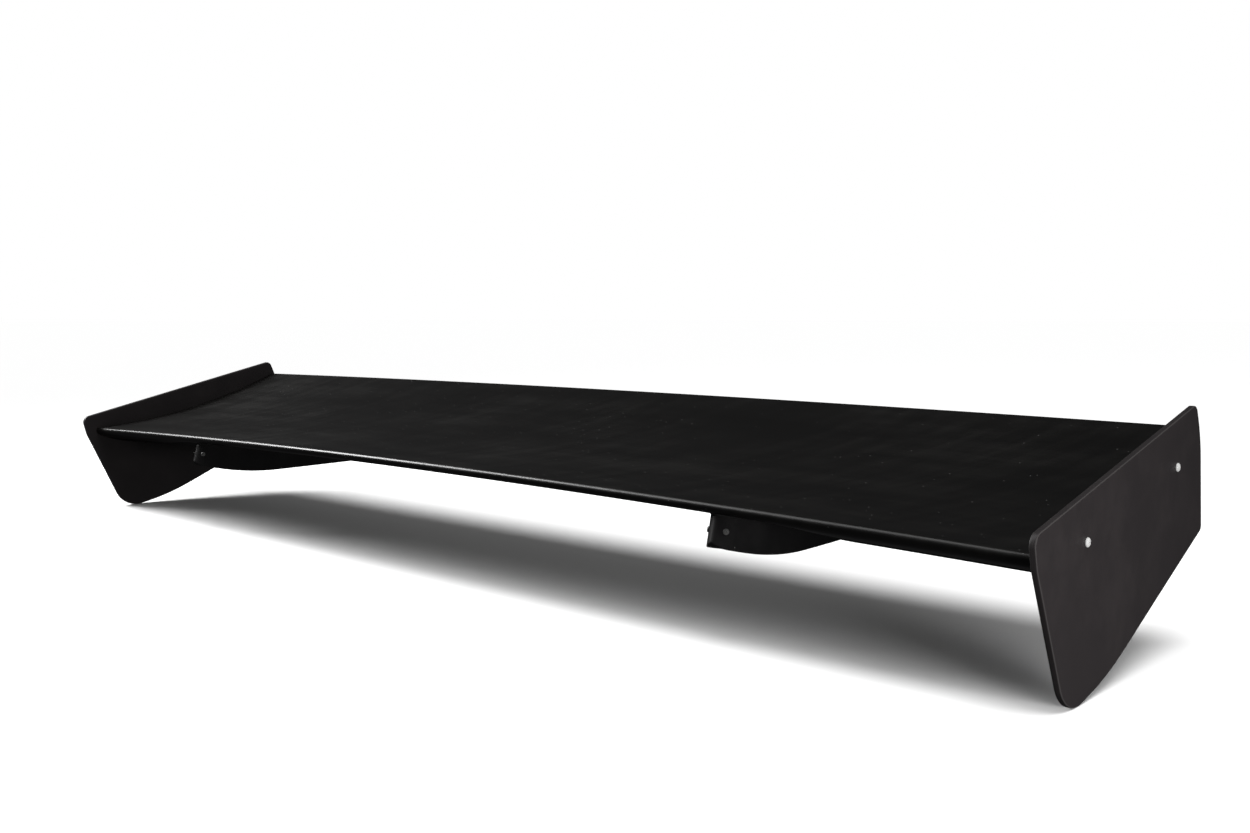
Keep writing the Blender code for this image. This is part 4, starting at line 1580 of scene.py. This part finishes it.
NOSE_BOX = SoftBox(
    "nose_box", place=(-1.72, -0.72, 1.10), aim=(-0.10, -0.19, 0.05), size=(0.8, 0.95), power=45.0)
RIGHT_BOX = SoftBox(
    "right_box", place=(-0.45, -0.60, 1.65), aim=(0.60, -0.19, 0.05), size=(1.3, 2.2), power=20.0)
PLATE_BOX = SoftBox(
    "plate_box", place=(1.50, -0.42, -0.02), aim=(0.75, -0.14, -0.04), size=(0.5, 0.3), power=22.0,
    mirrored=False)


@dataclass
class Studio:
    """A pale floor, soft light and the camera."""

    floor_half: float = 60.0
    floor_colour: Colour = (0.80, 0.80, 0.80)
    backdrop: Colour = (1.0, 1.0, 1.0)
    dim: Colour = (0.029, 0.029, 0.030)
    fill: Colour = (0.22, 0.22, 0.22)
    sun_strength: float = 3.3
    sun_angle: float = math.radians(36.0)
    sun_place: Point = (1.2, -0.7, 6.0)
    boxes: tuple[SoftBox, ...] = (NOSE_BOX, RIGHT_BOX, PLATE_BOX)
    camera_place: Point = (1.1240, -1.0282, 0.2171)
    camera_turn: Point = (math.radians(85.38), 0.0, math.radians(42.78))
    lens: float = 36.06
    sensor: float = 36.0
    view_depth: float = 200.0
    floor_roughness: float = 0.9

    def build(self, floor_height: float) -> None:
        """Lay the floor, hang the lights and set up the camera.

        Args:
            floor_height: Height of the floor, at the object's lowest point.
        """
        self.lay_floor(floor_height)
        self.set_world()
        self.hang_lights()
        self.place_camera()
        LOG.info("studio: floor at %.4f m", floor_height)

    def lay_floor(self, height: float) -> None:
        """Lay a wide pale floor.

        Args:
            height: Height of the floor.
        """
        data = bmesh.new()
        place = Matrix.Translation((0.0, 0.0, height))
        bmesh.ops.create_grid(data, x_segments=1, y_segments=1, size=self.floor_half, matrix=place)
        floor = new_object("floor", data)
        made = bpy.data.materials.new("floor")
        made.use_nodes = True
        shader = made.node_tree.nodes["Principled BSDF"]
        shader.inputs["Base Color"].default_value = rgba(self.floor_colour)
        shader.inputs["Roughness"].default_value = self.floor_roughness
        shader.inputs["Specular IOR Level"].default_value = 0.0
        floor.data.materials.append(made)
        floor.visible_glossy = False
        floor.visible_diffuse = False
        floor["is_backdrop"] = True

    def set_world(self) -> None:
        """Show a white backdrop, fill the shadows, and keep the room that the wing reflects dim."""
        bpy.context.scene.view_settings.view_transform = "Standard"
        world = bpy.data.worlds.new("studio")
        bpy.context.scene.world = world
        world.use_nodes = True
        world.node_tree.nodes.clear()
        build = TreeBuilder(world.node_tree)
        ray = build.add("ShaderNodeLightPath")
        colour = build.blend(ray.outputs["Is Diffuse Ray"], rgba(self.dim), rgba(self.fill))
        colour = build.blend(ray.outputs["Is Camera Ray"], colour, rgba(self.backdrop))
        light = build.add("ShaderNodeBackground", {"Color": colour, "Strength": 1.0})
        build.add("ShaderNodeOutputWorld", {"Surface": light.outputs[0]})

    def hang_lights(self) -> None:
        """Hang a broad overhead light and the softboxes."""
        sun = bpy.data.lights.new("overhead", "SUN")
        sun.energy = self.sun_strength
        sun.angle = self.sun_angle
        self.hang("overhead", sun, self.sun_place, (0.0, 0.0, 0.0), False)
        for box in self.boxes:
            lamp = bpy.data.lights.new(box.name, "AREA")
            lamp.shape = "RECTANGLE"
            lamp.size, lamp.size_y = box.size
            lamp.energy = box.power
            self.hang(box.name, lamp, box.place, box.aim, box.mirrored)

    def hang(
        self, name: str, light: bpy.types.Light, place: Point, aim: Point, mirrored: bool,
    ) -> None:
        """Hang a light at a place and aim it at a point.

        Args:
            name: The lamp's name.
            light: The lamp's data.
            place: Where it hangs.
            aim: The point it faces.
            mirrored: Whether glossy surfaces show it.
        """
        lamp = bpy.data.objects.new(name, light)
        lamp.location = place
        lamp.rotation_euler = (Vector(aim) - Vector(place)).to_track_quat("-Z", "Y").to_euler()
        lamp.visible_glossy = mirrored
        bpy.context.scene.collection.objects.link(lamp)

    def place_camera(self) -> None:
        """Stand the camera in front of the wing's right half, a little above it."""
        camera = bpy.data.objects.new("camera", bpy.data.cameras.new("camera"))
        camera.location = self.camera_place
        camera.rotation_euler = self.camera_turn
        camera.data.lens = self.lens
        camera.data.sensor_width = self.sensor
        camera.data.clip_end = self.view_depth
        bpy.context.scene.collection.objects.link(camera)
        bpy.context.scene.camera = camera


def main() -> None:
    """Build the finished wing, one sub-assembly at a time, and then the studio."""
    logging.basicConfig(level=logging.INFO, format="%(name)s %(message)s")
    cad_low, cad_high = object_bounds()
    section = Section()
    attitude = Attitude(half_span=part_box("end_plate_right")[1].x)
    arching = arch_tree()
    blade = Blade(section, attitude)
    blade.build(arching)
    EndPlates(section, attitude).build(arching)
    pedestals = Pedestals(blade)
    pedestals.build(bead_tree())
    Fasteners(pedestals).build(fastener_tree())
    InnerPieces().build()
    Studio().build(cad_low.z)


if __name__ == "__main__":
    main()
